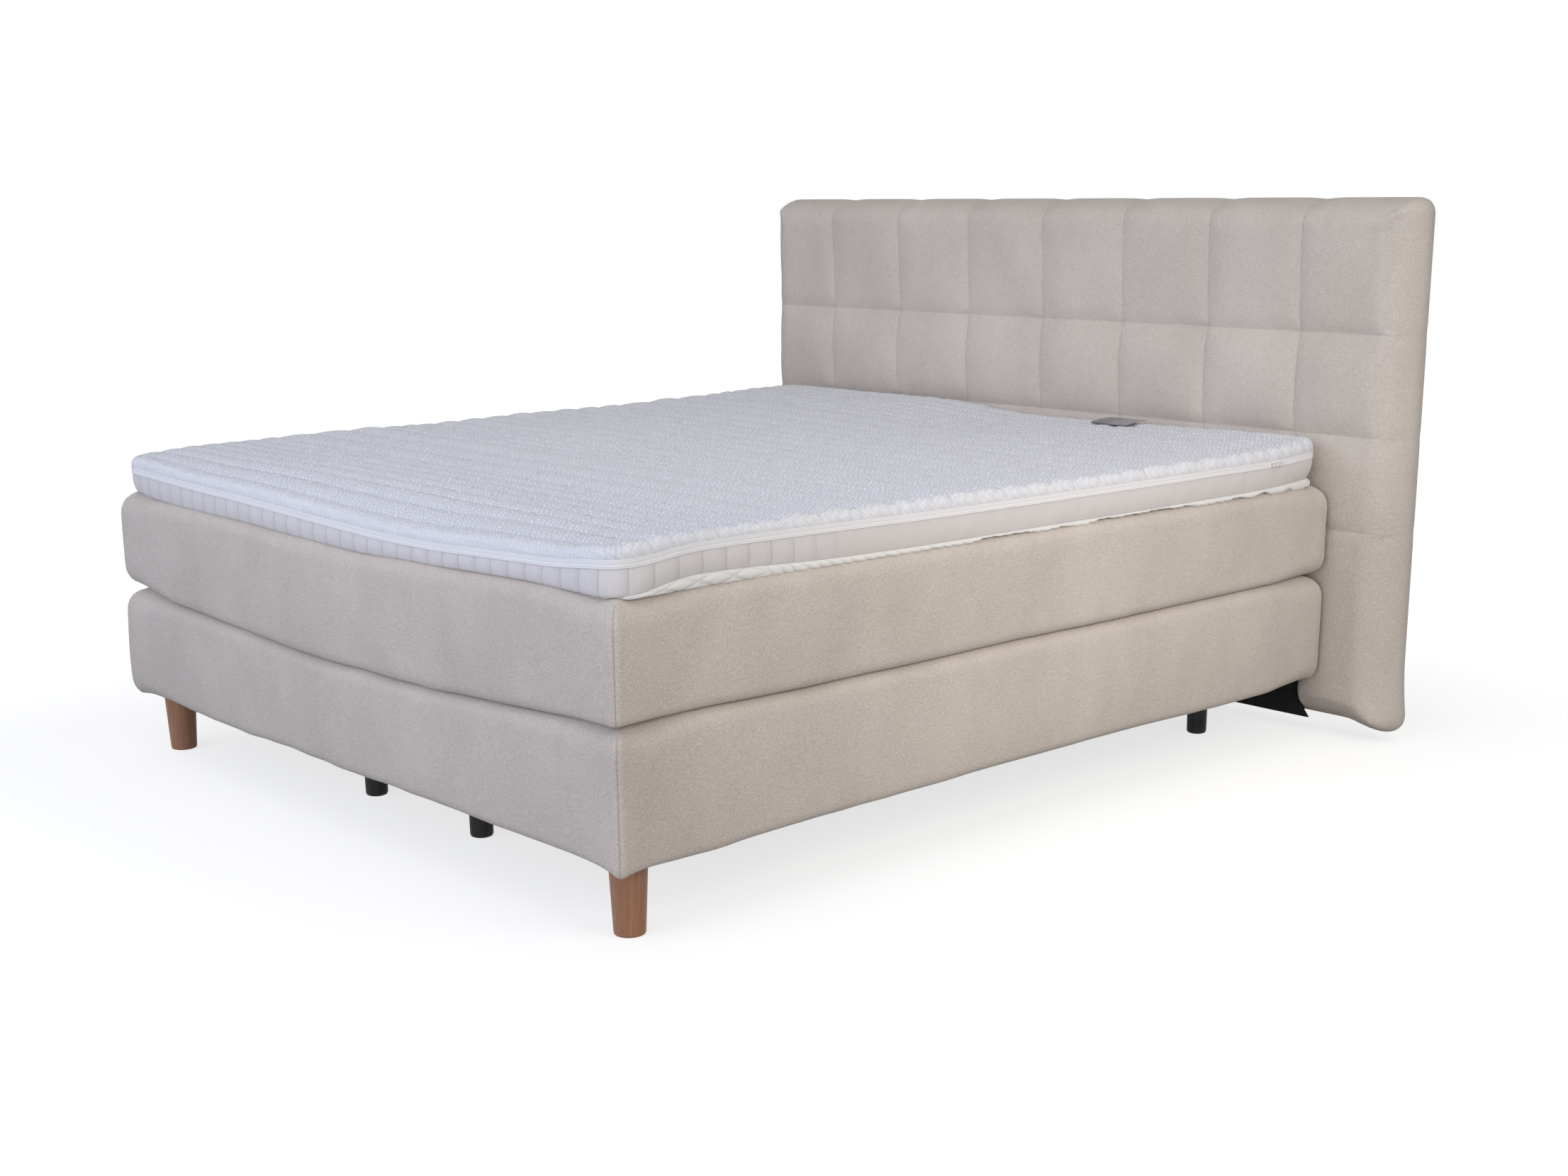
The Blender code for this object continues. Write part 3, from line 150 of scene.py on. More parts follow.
# Cloth solver: frames, then each piece's pressure, slack and the most that a point may move
SETTLE_FRAMES = 20
QUILT_CLOTH = (6.0, 0.008, 0.003)
BOARD_CLOTH = (4.0, 0.003, 0.004)

# Floor, light and camera
FLOOR_REACH = 30.0
FLOOR_GREY = 0.38
FLOOR_SHADOW = 0.35
# The floor's glow by distance from the bed, lower near it: a painted shadow
GLOW_RANGE = (0.3, 1.4)
GLOW_LEVELS = (0.735, 0.91)
WORLD_LIGHT = 0.45
LAMPS = (
    ("soft_left", (-0.4, -4.7, 2.3), (0.2, -0.2, 0.6), (3.0, 2.2), 56, (0.44, 0.61, 1.0), np.pi),
    ("soft_right", (2.8, 0.1, 1.4), (0.9, 0.1, 0.45), (1.4, 1.2), 8.6, (1.0, 0.94, 0.86), 1.7),
    ("soft_front", (3.6, -6.6, 1.4), (0, 0.6, 0.8), (3.0, 2.6), 118, (1.0, 0.95, 0.90), np.pi),
    ("soft_top", (1.5, -2.2, 4.2), (0.6, -0.6, 0.6), (3.0, 3.0), 28, (0.96, 0.97, 1.0), np.pi),
    ("soft_head", (-0.6, -2.6, 2.2), (-0.15, 0.97, 0.85), (1.8, 1.4), 2.3, (1.0, 0.90, 0.76), 1.2),
)
SENSOR = 36
LENS = 45.557
LENS_SHIFT = (-0.05696, 0.07256)
CAMERA_RIGHT = (0.6964929, 0.71755865, 0.0026864)
CAMERA_UP = (-0.17364832, 0.16491558, 0.97090118)
CAMERA_BACK = (0.69623552, -0.67669227, 0.23946539)
CAMERA_PLACE = (3.39769, -2.92409, 1.18961)


# Curves and fields

RIPPLE_WAVES = 14


def unit(values):
    """Values held between 0 and 1."""
    return np.clip(values, 0, 1)


def smooth_step(t):
    t = unit(t)
    return t * t * (3 - 2 * t)


def bell(distance, width):
    return np.exp(-((distance / width) ** 2))


def ripple(points, wavelength, seed):
    """A smooth random field of about unit size whose bumps are a wavelength apart."""
    rng = np.random.default_rng(seed)
    turns = rng.normal(size=(RIPPLE_WAVES, points.shape[1]))
    turns /= np.linalg.norm(turns, axis=1)[:, None]
    turns *= (2 * np.pi / wavelength) * rng.uniform(0.6, 1.4, (RIPPLE_WAVES, 1))
    starts = rng.uniform(0, 2 * np.pi, RIPPLE_WAVES)
    return np.sin(points @ turns.T + starts).sum(1) / np.sqrt(RIPPLE_WAVES / 2)


def spread(length, edges, step):
    """Lattice values from 0 to length: fine at both ends, even in between."""
    edges = np.array(edges)
    count = max(int(round((length - 2 * edges[-1]) / step)), 1)
    middle = np.linspace(edges[-1], length - edges[-1], count + 1)[1:-1]
    return np.concatenate([edges, middle, length - edges[::-1]])


def thinned(values, step):
    """Sorted values without those that follow the one before too closely."""
    return values[np.concatenate([[True], np.diff(values) > step])]


def quads(grid, turned):
    """Four-sided faces over a grid of point numbers."""
    found = np.stack([grid[:-1, :-1], grid[1:, :-1], grid[1:, 1:], grid[:-1, 1:]], -1).reshape(-1, 4)
    return found[:, ::-1] if turned else found


def box_lattice(xs, ys, zs):
    """Points and quads of the surface of a lattice box."""
    on = np.zeros((len(xs), len(ys), len(zs)), bool)
    on[[0, -1]] = True
    on[:, [0, -1]] = True
    on[:, :, [0, -1]] = True
    ids = np.full(on.shape, -1)
    ids[on] = np.arange(on.sum())
    i, j, k = np.nonzero(on)
    sides = (ids[:, :, -1], ids[:, :, 0], ids[-1], ids[0], ids[:, 0], ids[:, -1])
    faces = [quads(side, number % 2 == 1) for number, side in enumerate(sides)]
    return np.column_stack([xs[i], ys[j], zs[k]]), np.concatenate(faces)


def rounded(points, half_x, half_y, height, plan, low, top):
    """Rounds a lattice box that stands on z = 0 about x = y = 0: plan corners, lower and upper edges."""
    x, y, z = points.T.copy()
    inset = np.minimum(half_x - abs(x), half_y - abs(y))
    new_inset = inset.copy()
    for drop, radius, sign in ((height - z, top, -1), (z, low, 1)):
        across = radius - inset
        down = radius - drop
        near = (across > 0) & (down > 0)
        long = np.maximum(np.hypot(across, down), 1e-9)
        new_inset = np.where(near, radius - radius * across / long, new_inset)
        new_drop = np.where(near, radius - radius * down / long, drop)
        z = np.where(near, height - new_drop if sign < 0 else new_drop, z)
    zone = 0.16
    for axis, half in ((x, half_x), (y, half_y)):
        start = half - zone
        beyond = np.maximum(abs(axis) - start, 0)
        scale = (half - new_inset - start) / np.maximum(half - inset - start, 1e-6)
        outer = np.where(inset < zone * 0.9, start + beyond * scale, abs(axis))
        axis[:] = np.where(beyond > 0, np.sign(axis) * outer, axis)
    corner = np.maximum(plan - new_inset, 0.004)
    over_x = abs(x) - (half_x - new_inset - corner)
    over_y = abs(y) - (half_y - new_inset - corner)
    near = (over_x > 0) & (over_y > 0)
    long = np.maximum(np.hypot(over_x, over_y), 1e-9)
    most = np.maximum(over_x, over_y)
    x = np.where(near, np.sign(x) * (half_x - new_inset - corner + most * over_x / long), x)
    y = np.where(near, np.sign(y) * (half_y - new_inset - corner + most * over_y / long), y)
    return np.column_stack([x, y, z])


def normals_of(points, faces):
    a, b, c, d = (points[faces[:, i]] for i in range(4))
    out = np.zeros_like(points)
    face = np.cross(c - a, d - b)
    for i in range(4):
        np.add.at(out, faces[:, i], face)
    return out / np.maximum(np.linalg.norm(out, axis=1), 1e-12)[:, None]


def mesh_piece(name, points, faces, material, body, fields=None):
    """A mesh object that rides on a body, with named point values for its material."""
    mesh = bpy.data.meshes.new(name)
    mesh.from_pydata(points.tolist(), [], faces.tolist())
    for field, values in (fields or {}).items():
        mesh.attributes.new(field, "FLOAT", "POINT").data.foreach_set("value", values.astype(np.float32))
    mesh.polygons.foreach_set("use_smooth", np.ones(len(mesh.polygons), bool))
    mesh.materials.append(material)
    mesh.update()
    piece = bpy.data.objects.new(name, mesh)
    bpy.context.scene.collection.objects.link(piece)
    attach(piece, body)
    return piece


def settled(name, points, faces, pins, pressure, slack, cap):
    """Puffs a skin, pinned at its seams, with the cloth solver. No point moves further than cap."""
    scene = bpy.context.scene
    mesh = bpy.data.meshes.new(name + "_cloth")
    mesh.from_pydata(points.tolist(), [], faces.tolist())
    thing = bpy.data.objects.new(name + "_cloth", mesh)
    scene.collection.objects.link(thing)
    group = thing.vertex_groups.new(name="pins")
    levels = np.round(pins, 1)
    for level in np.unique(levels):
        group.add(np.nonzero(levels == level)[0].tolist(), float(level), "REPLACE")
    cloth = thing.modifiers.new("cloth", "CLOTH")
    cloth.settings.vertex_group_mass = "pins"
    cloth.settings.use_pressure = True
    cloth.settings.uniform_pressure_force = pressure
    cloth.settings.shrink_min = -slack
    cloth.settings.effector_weights.gravity = 0
    cloth.settings.quality = 4
    cloth.collision_settings.use_collision = False
    cloth.point_cache.frame_start = 1
    cloth.point_cache.frame_end = SETTLE_FRAMES
    for frame in range(1, SETTLE_FRAMES + 1):
        scene.frame_set(frame)
    posed = thing.evaluated_get(bpy.context.evaluated_depsgraph_get())
    moved = np.empty(len(points) * 3, np.float32)
    posed.data.vertices.foreach_get("co", moved)
    step = moved.reshape(-1, 3) - points
    length = np.maximum(np.linalg.norm(step, axis=1), 1e-9)
    bpy.data.objects.remove(thing)
    bpy.data.meshes.remove(mesh)
    scene.frame_set(1)
    return points + step * np.minimum(1, cap / length)[:, None]


# Materials


def math_node(tree, operation, a, b):
    """The result of a math node on numbers or on other nodes' outputs."""
    node = tree.nodes.new("ShaderNodeMath")
    node.operation = operation
    for socket, value in zip(node.inputs, (a, b)):
        if isinstance(value, bpy.types.NodeSocket):
            tree.links.new(value, socket)
        else:
            socket.default_value = value
    return node.outputs[0]


class Nodes:
    """Short calls for a material's node tree."""

    def __init__(self, name, roughness, metallic=0.0, sheen=0.0, specular=0.5):
        self.material = bpy.data.materials.new(name)
        self.material.use_nodes = True
        self.tree = self.material.node_tree
        self.shader = self.tree.nodes["Principled BSDF"]
        self.shader.inputs["Roughness"].default_value = roughness
        self.shader.inputs["Metallic"].default_value = metallic
        self.shader.inputs["Specular IOR Level"].default_value = specular
        self.shader.inputs["Sheen Weight"].default_value = sheen
        self.shader.inputs["Sheen Roughness"].default_value = 0.45

    def add(self, kind, inputs=None, **settings):
        node = self.tree.nodes.new(kind)
        for key, value in settings.items():
            setattr(node, key, value)
        for key, value in (inputs or {}).items():
            if isinstance(value, bpy.types.NodeSocket):
                self.tree.links.new(value, node.inputs[key])
            else:
                node.inputs[key].default_value = value
        return node

    def place(self, scale=(1, 1, 1)):
        """The object's own coordinates, scaled."""
        where = self.add("ShaderNodeTexCoord").outputs["Object"]
        return self.add("ShaderNodeMapping", {"Vector": where, "Scale": scale}).outputs[0]

    def noise(self, scale, stretch=(1, 1, 1), detail=2.0, distortion=0.0):
        place = self.place(stretch)
        inputs = {"Vector": place, "Scale": scale, "Detail": detail, "Distortion": distortion}
        return self.add("ShaderNodeTexNoise", inputs).outputs["Fac"]

    def math(self, operation, a, b=0.0):
        return math_node(self.tree, operation, a, b)

    def plus(self, a, b):
        return self.math("ADD", a, b)

    def times(self, a, b):
        return self.math("MULTIPLY", a, b)

    def wave(self, value, rate):
        """The size of a sine, which has one hump per half turn."""
        return self.math("ABSOLUTE", self.math("SINE", self.times(value, rate)))

    def field(self, name):
        """A value that the mesh holds at each point."""
        return self.add("ShaderNodeAttribute", attribute_name=name).outputs["Fac"]

    def share(self, value, most, low=0.3, high=0.7):
        """Maps a value between low and high to a share from 0 to most."""
        return self.stretch(value, low, high, 0.0, most)

    def stretch(self, value, low, high, to_low=0.0, to_high=1.0):
        inputs = {"Value": value, "From Min": low, "From Max": high, "To Min": to_low, "To Max": to_high}
        return self.add("ShaderNodeMapRange", inputs).outputs[0]

    def mix(self, factor, a, b):
        node = self.add("ShaderNodeMix", data_type="RGBA")
        for socket, value in ((node.inputs[0], factor), (node.inputs[6], a), (node.inputs[7], b)):
            if isinstance(value, bpy.types.NodeSocket):
                self.tree.links.new(value, socket)
            else:
                socket.default_value = value
        return node.outputs[2]

    def bump(self, height, strength, distance, before=None):
        inputs = {"Height": height, "Strength": strength, "Distance": distance}
        if before is not None:
            inputs["Normal"] = before
        return self.add("ShaderNodeBump", inputs).outputs[0]

    def finish(self, colour, normal=None, roughness=None):
        for value, key in ((colour, "Base Color"), (normal, "Normal"), (roughness, "Roughness")):
            if value is not None:
                self.tree.links.new(value, self.shader.inputs[key])
        return self.material


def linear(red, green, blue):
    """A colour written as the screen shows it, as the shader needs it."""
    values = np.array([red, green, blue]) / 255.0
    values = np.where(values <= 0.04045, values / 12.92, ((values + 0.055) / 1.055) ** 2.4)
    return (*values.tolist(), 1.0)


def velvet_material(name, light, dark):
    """Upholstery with a fine upright grain, soft pebbles and painted shade along its seams."""
    n = Nodes(name, 0.92, sheen=0.10, specular=0.2)
    n.shader.inputs["Sheen Tint"].default_value = linear(236, 228, 222)
    cloud = n.noise(5.5, (1, 1, 0.6), detail=3)
    grain = n.noise(950, (1, 1, 0.5), detail=2)
    pebble = n.noise(360, (1, 1, 0.75), detail=2, distortion=0.4)
    seam = n.field("seam")
    shade = n.plus(n.share(cloud, 0.30, 0.32, 0.68), n.share(pebble, 0.50, 0.36, 0.64))
    shade = n.plus(shade, n.share(grain, 0.20))
    colour = n.mix(shade, dark, light)
    # Painted shade along the seams, as strong as the mesh's seam field
    colour = n.mix(n.share(seam, 0.38, 0.0, 1.0), colour, linear(104, 92, 86))
    normal = n.bump(pebble, 0.90, 0.0021)
    normal = n.bump(grain, 0.30, 0.0004, normal)
    return n.finish(colour, normal)


def knit_material(name, along, across, light, dark):
    """White knit in rows of small slanted stitches. Along and across pick the coordinates of a row."""
    n = Nodes(name, 0.85, sheen=0.12, specular=0.25)
    split = n.add("ShaderNodeSeparateXYZ", {0: n.place()})

    def summed(weights):
        total = None
        for axis, weight in zip("XYZ", weights):
            if weight:
                part = n.times(split.outputs[axis], weight)
                total = part if total is None else n.plus(total, part)
        return total

    wander = n.stretch(n.noise(46, detail=2), 0.3, 0.7, -0.22, 0.22)
    row = n.plus(summed(across), wander)
    level = n.math("FRACT", row)
    turn = n.math("PINGPONG", n.math("FLOOR", row), 1.0)
    slant = n.times(level, 0.83)
    drift = n.plus(summed(along), n.stretch(n.noise(60, detail=1), 0.3, 0.7, -0.30, 0.30))
    place = n.plus(n.plus(drift, slant), n.times(turn, 0.5))
    dash = n.wave(place, np.pi)
    hump = n.math("SINE", n.times(level, np.pi))
    stitch = n.times(n.math("POWER", dash, 2.2), n.math("POWER", hump, 0.6))
    edge = n.field("edge")
    stitch = n.add("ShaderNodeCombineXYZ", {0: stitch, 1: stitch, 2: stitch}).outputs[0]
    stitch = n.mix(edge, stitch, (0.7, 0.7, 0.7, 1))
    stitch = n.add("ShaderNodeSeparateXYZ", {0: stitch}).outputs[0]
    fuzz = n.noise(1100, detail=2)
    patch = n.noise(9, detail=2)
    seam = n.field("seam")
    colour = n.mix(n.share(stitch, 1.0, 0.0, 0.9), dark, light)
    colour = n.mix(n.share(patch, 0.12), colour, dark)
    # Painted shade along the channel seams
    colour = n.mix(n.share(seam, 0.30, 0.0, 1.0), colour, linear(160, 160, 168))
    normal = n.bump(stitch, 0.5, 0.0012)
    normal = n.bump(fuzz, 0.25, 0.0004, normal)
    return n.finish(colour, normal)


def spacer_material(name):
    """Warm grey spacer mesh in an upright herringbone, with rows of small holes and painted shade at its
    tucks.
    """
    n = Nodes(name, 0.8, sheen=0.1, specular=0.3)
    split = n.add("ShaderNodeSeparateXYZ", {0: n.place()})
    run = n.plus(split.outputs["X"], split.outputs["Y"])
    fold = n.math("PINGPONG", n.plus(run, 4.0), TUCK_PITCH / 4)
    line = n.times(n.plus(n.times(fold, 0.8), split.outputs["Z"]), 1 / 0.0034)
    rib = n.wave(line, np.pi)
    rise = n.times(split.outputs["Z"], 1.15)
    one = n.wave(n.plus(run, rise), np.pi / SPACER_PITCH)
    two = n.wave(n.math("SUBTRACT", run, rise), np.pi / SPACER_PITCH)
    comb = n.math("MAXIMUM", one, two)
    thread = n.plus(n.times(comb, 0.72), n.times(rib, 0.28))
    fuzz = n.noise(700, detail=2)
    seam = n.field("seam")
    tuck_shade = n.field("tuck_shade")
    colour = n.mix(n.share(thread, 1.0, 0.45, 0.92), linear(166, 161, 165), linear(232, 229, 231))
    calm = n.field("calm")
    colour = n.mix(calm, colour, linear(207, 202, 201))
    colour = n.mix(n.share(fuzz, 0.12), colour, linear(186, 181, 180))
    # Painted shade: darker just left of each tuck, and darkest in the tucks themselves
    colour = n.mix(n.share(tuck_shade, 0.16, 0.0, 1.0), colour, linear(158, 152, 152))
    colour = n.mix(n.share(seam, 0.30, 0.0, 1.0), colour, linear(132, 128, 130))
    normal = n.bump(thread, 0.4, 0.0008)
    return n.finish(colour, n.bump(fuzz, 0.2, 0.0004, normal))


def woven_material(name, light, dark, pitch, roughness, sheen=0.0, strength=0.4, crease=None):
    """A plain weave with threads of that pitch and a little fuzz. Crease is the colour that the seam field
    mixes in: painted shade in creases and seams, and on the label painted shadow and a darker left part.
    """
    n = Nodes(name, roughness, sheen=sheen, specular=0.3)
    split = n.add("ShaderNodeSeparateXYZ", {0: n.place()})
    weave = None
    for axis in "XYZ":
        wave = n.math("SINE", n.times(split.outputs[axis], 2 * np.pi / pitch))
        weave = wave if weave is None else n.plus(weave, wave)
    fuzz = n.noise(500, detail=3)
    patch = n.noise(12, detail=2)
    shade = n.plus(n.stretch(weave, -2.0, 2.0, 0.0, 0.5), n.share(fuzz, 0.3))
    shade = n.plus(shade, n.share(patch, 0.2))
    colour = n.mix(shade, dark, light)
    # Painted shade where the seam field says
    if crease is not None:
        seam = n.field("seam")
        colour = n.mix(seam, colour, crease)
    normal = n.bump(weave, strength, pitch * 0.25)
    return n.finish(colour, n.bump(fuzz, 0.3, 0.0004, normal))


def wood_material(name, light, dark, pore, grain_axis="Z", roughness=0.48):
    """Fine-grained wood: soft year rings, short dark pores and a satin surface."""
    n = Nodes(name, roughness, specular=0.4)
    stretch = {"X": (0.07, 1, 1), "Y": (1, 0.07, 1), "Z": (1, 1, 0.07)}[grain_axis]
    warp = n.noise(9, stretch, detail=3, distortion=0.8)
    ring = n.wave(warp, 38.0)
    fibre = n.noise(620, stretch, detail=3)
    fleck = n.noise(1400, tuple(s if s == 1 else s * 0.6 for s in stretch), detail=1)
    colour = n.mix(n.share(ring, 0.55, 0.0, 1.0), light, dark)
    colour = n.mix(n.share(fibre, 0.30, 0.35, 0.65), colour, dark)
    colour = n.mix(n.share(fleck, 0.55, 0.62, 0.70), colour, pore)
    normal = n.bump(fibre, 0.12, 0.0003)
    normal = n.bump(fleck, 0.15, 0.0002, normal)
    rough = n.stretch(fibre, 0.3, 0.7, roughness - 0.06, roughness + 0.08)
    return n.finish(colour, normal, rough)


def moulded_material(name, colour, lighter, roughness):
    """Moulded plastic or cast metal with a fine texture, lighter patches and lighter convex edges."""
    n = Nodes(name, roughness, specular=0.3)
    texture = n.noise(850, detail=2)
    patch = n.noise(28, detail=3)
    edge = n.add("ShaderNodeNewGeometry").outputs["Pointiness"]
    mixed = n.mix(n.share(patch, 0.35, 0.35, 0.7), colour, lighter)
    mixed = n.mix(n.share(edge, 0.5, 0.52, 0.60), mixed, lighter)
    rough = n.stretch(patch, 0.3, 0.7, roughness - 0.07, roughness + 0.10)
    return n.finish(mixed, n.bump(texture, 0.2, 0.0003), rough)


def metal_material(name, colour, dull, roughness):
    """Plated or plain metal with fine scratches and dull patches."""
    n = Nodes(name, roughness, metallic=1.0)
    scratch = n.noise(900, (1, 1, 0.05), detail=2)
    patch = n.noise(60, detail=3)
    mixed = n.mix(n.share(patch, 0.5, 0.35, 0.7), colour, dull)
    rough = n.stretch(patch, 0.3, 0.7, roughness - 0.06, roughness + 0.14)
    return n.finish(mixed, n.bump(scratch, 0.10, 0.0002), rough)


# Stage, light and camera


def seen_directly(tree):
    """1 for what the camera sees itself, in a mirror or through glass, and 0 for the light on the object."""
    path = tree.nodes.new("ShaderNodeLightPath").outputs
    seen = math_node(tree, "MAXIMUM", path["Is Camera Ray"], path["Is Glossy Ray"])
    return math_node(tree, "MAXIMUM", seen, path["Is Transmission Ray"])


def make_stage():
    scene = bpy.context.scene
    scene.view_settings.view_transform = "Standard"
    mesh = bpy.data.meshes.new("floor")
    reach = FLOOR_REACH
    corners = [(-reach, -reach, 0), (reach, -reach, 0), (reach, reach, 0), (-reach, reach, 0)]
    mesh.from_pydata(corners, [], [(0, 1, 2, 3)])
    floor = bpy.data.objects.new("floor", mesh)
    scene.collection.objects.link(floor)
    n = Nodes("floor_white", 1.0)
    n.tree.nodes.remove(n.shader)
    plain = n.add("ShaderNodeBsdfDiffuse", {0: (*[FLOOR_GREY] * 3, 1)})
    thin = n.add("ShaderNodeBsdfDiffuse", {0: (*[FLOOR_SHADOW] * 3, 1)})

    # Painted shadow: the floor glows a little less round the bed, as in its broad soft shadow
    split = n.add("ShaderNodeSeparateXYZ", {0: n.add("ShaderNodeNewGeometry").outputs["Position"]})
    from_middle = n.math("ABSOLUTE", n.math("SUBTRACT", split.outputs["Y"], MID_Y))
    beside = n.math("MAXIMUM", n.math("SUBTRACT", n.math("ABSOLUTE", split.outputs["X"]), HALF_WIDTH))
    beyond = n.math("MAXIMUM", n.math("SUBTRACT", from_middle, HALF_LENGTH))
    squares = n.plus(n.times(beside, beside), n.times(beyond, beyond))
    away = n.math("SQRT", squares)
    glow = n.add("ShaderNodeEmission", {1: n.stretch(away, *GLOW_RANGE, *GLOW_LEVELS)})
    both = n.add("ShaderNodeAddShader", {0: thin.outputs[0], 1: glow.outputs[0]})
    mixed = n.add("ShaderNodeMixShader", {0: seen_directly(n.tree), 1: plain.outputs[0], 2: both.outputs[0]})
    n.tree.links.new(mixed.outputs[0], n.tree.nodes["Material Output"].inputs[0])
    mesh.materials.append(n.material)


def make_world():
    world = bpy.data.worlds.new("studio")
    bpy.context.scene.world = world
    world.use_nodes = True
    tree = world.node_tree
    back = tree.nodes["Background"]
    back.inputs[0].default_value = (1, 1, 1, 1)
    level = tree.nodes.new("ShaderNodeMapRange")
    level.inputs["To Min"].default_value = WORLD_LIGHT
    level.inputs["To Max"].default_value = 1.0
    tree.links.new(seen_directly(tree), level.inputs["Value"])
    tree.links.new(level.outputs[0], back.inputs[1])


def area_lamp(name, place, aim, size, power, colour, spread):
    lamp = bpy.data.lights.new(name, "AREA")
    lamp.shape = "RECTANGLE"
    lamp.size, lamp.size_y = size
    lamp.energy = power
    lamp.spread = spread
    lamp.color = colour
    thing = bpy.data.objects.new(name, lamp)
    bpy.context.scene.collection.objects.link(thing)
    thing.location = place
    away = Matrix.Translation(aim).to_translation() - thing.location
    thing.rotation_mode = "QUATERNION"
    thing.rotation_quaternion = away.to_track_quat("-Z", "Y")


def make_camera():
    lens = bpy.data.cameras.new("camera")
    lens.sensor_width = SENSOR
    lens.lens = LENS
    lens.shift_x, lens.shift_y = LENS_SHIFT
    camera = bpy.data.objects.new("camera", lens)
    bpy.context.scene.collection.objects.link(camera)
    rows = zip(CAMERA_RIGHT, CAMERA_UP, CAMERA_BACK, CAMERA_PLACE)
    camera.matrix_world = Matrix([*rows, (0, 0, 0, 1)])
    bpy.context.scene.camera = camera


# Fields that base, mattress and topper share, so that they rest on each other


MORE_SAG_AT_FOOT = (
    (-0.90, -0.80, -0.60, -0.44, -0.30, -0.14, 0.0, 0.2, 0.34, 0.44, 0.58, 0.66, 0.76, 0.82, 0.90),
    (0.010, 0.0150, 0.0150, 0.0150, 0.0168, 0.0190, 0.0200, 0.0176, 0.0158, 0.0112, 0.0080, 0.0075, 0.0035)
    + (0.0005, 0.0),
)
SAG_AT_SIDE = (
    (-1.01, -0.85, -0.6, -0.4, -0.2, 0.4, 0.6, 0.8, 1.01),
    (0.0, 0.004, 0.0055, 0.0050, 0.003, 0.002, 0.0, -0.001, 0.0),
)


def seam_sag(x, y):
    """How far the seam between base and mattress lies under its level height."""
    across = unit(1 - (x / HALF_WIDTH) ** 2)
    from_foot = unit((y - FOOT_Y) / SEAM_SAG_ZONE)
    from_side = unit((HALF_WIDTH - x) / 0.40)
    at_foot = (FOOT_SAG * across + eased(x, MORE_SAG_AT_FOOT)) * (1 - from_foot) ** 2
    return at_foot + eased(y - MID_Y, SAG_AT_SIDE) * (1 - from_side) ** 2 * from_foot


HANG_AT_FOOT = (
    (-0.90, -0.85, -0.80, -0.72, -0.60, -0.50, -0.40, -0.33, -0.27, -0.20, -0.10, 0.0, 0.07, 0.2, 0.45)
    + (0.7, 0.83, 0.9),
    (0.024, 0.020, 0.016, 0.012, 0.011, 0.014, 0.018, 0.017, 0.013, 0.009, 0.009, 0.012, 0.014, 0.008, 0.008)
    + (0.008, 0.002, 0.0),
)
HANG_AT_SIDE = (
    (-1.01, -0.96, -0.91, -0.85, -0.78, -0.70, -0.60, -0.40, -0.20, 0.0, 0.35, 0.5, 0.7, 0.9, 1.01),
    (0.0, 0.003, 0.0075, 0.0145, 0.012, 0.0065, 0.004, 0.005, 0.002, 0.0, 0.0, 0.004, 0.007, 0.007, 0.005),
)


def hang(x, y):
    """How far the lower edge of the base hangs under its level height."""
    at_foot = eased(x, HANG_AT_FOOT) * unit(1 - (y - FOOT_Y) / 0.10)
    at_side = eased(y - MID_Y, HANG_AT_SIDE) * unit(1 - (HALF_WIDTH - abs(x)) / 0.10)
    return np.where(at_foot > at_side, at_foot, at_side)


TOP_SAG_AT_FOOT = (
    (-0.90, -0.84, -0.75, -0.60, -0.37, -0.19, 0.0, 0.13, 0.25, 0.37, 0.456, 0.54, 0.645, 0.80, 0.90),
    (0.0, 0.0040, 0.0115, 0.0150, 0.0150, 0.0192, 0.0222, 0.0227, 0.0165, 0.0148, 0.0105, 0.0078, 0.0040)
    + (0.0015, 0.0),
)


def top_sag(x, y):
    """How far the top of the mattress lies under its level height."""
    from_foot = unit((y - FOOT_Y) / TOP_SAG_ZONE)
    return eased(x, TOP_SAG_AT_FOOT) * (1 - from_foot) ** 2


def corner_share(x, y):
    """1 at the plan's corners, 0 along the middle of its sides."""
    across = smooth_step((abs(x) - (HALF_WIDTH - 0.22)) / 0.18)
    along = smooth_step((abs(y - MID_Y) - (HALF_LENGTH - 0.22)) / 0.18)
    return across * along


def is_near(x, y):
    return (x > 0) & (y < MID_Y)


SKIN_EDGES = (0, 0.0022, 0.0042, 0.007, 0.0105, 0.015, 0.020, 0.026, 0.033, 0.042, 0.053, 0.066, 0.082)


def with_lines(values, place):
    """Lattice values with a pair of lines on both sides of a place, left and right."""
    lines = np.round([-place - PANEL_SEAM, -place + PANEL_SEAM, place - PANEL_SEAM, place + PANEL_SEAM], 4)
    return np.unique(np.concatenate([values[abs(abs(values) - place) > 0.008], lines]))


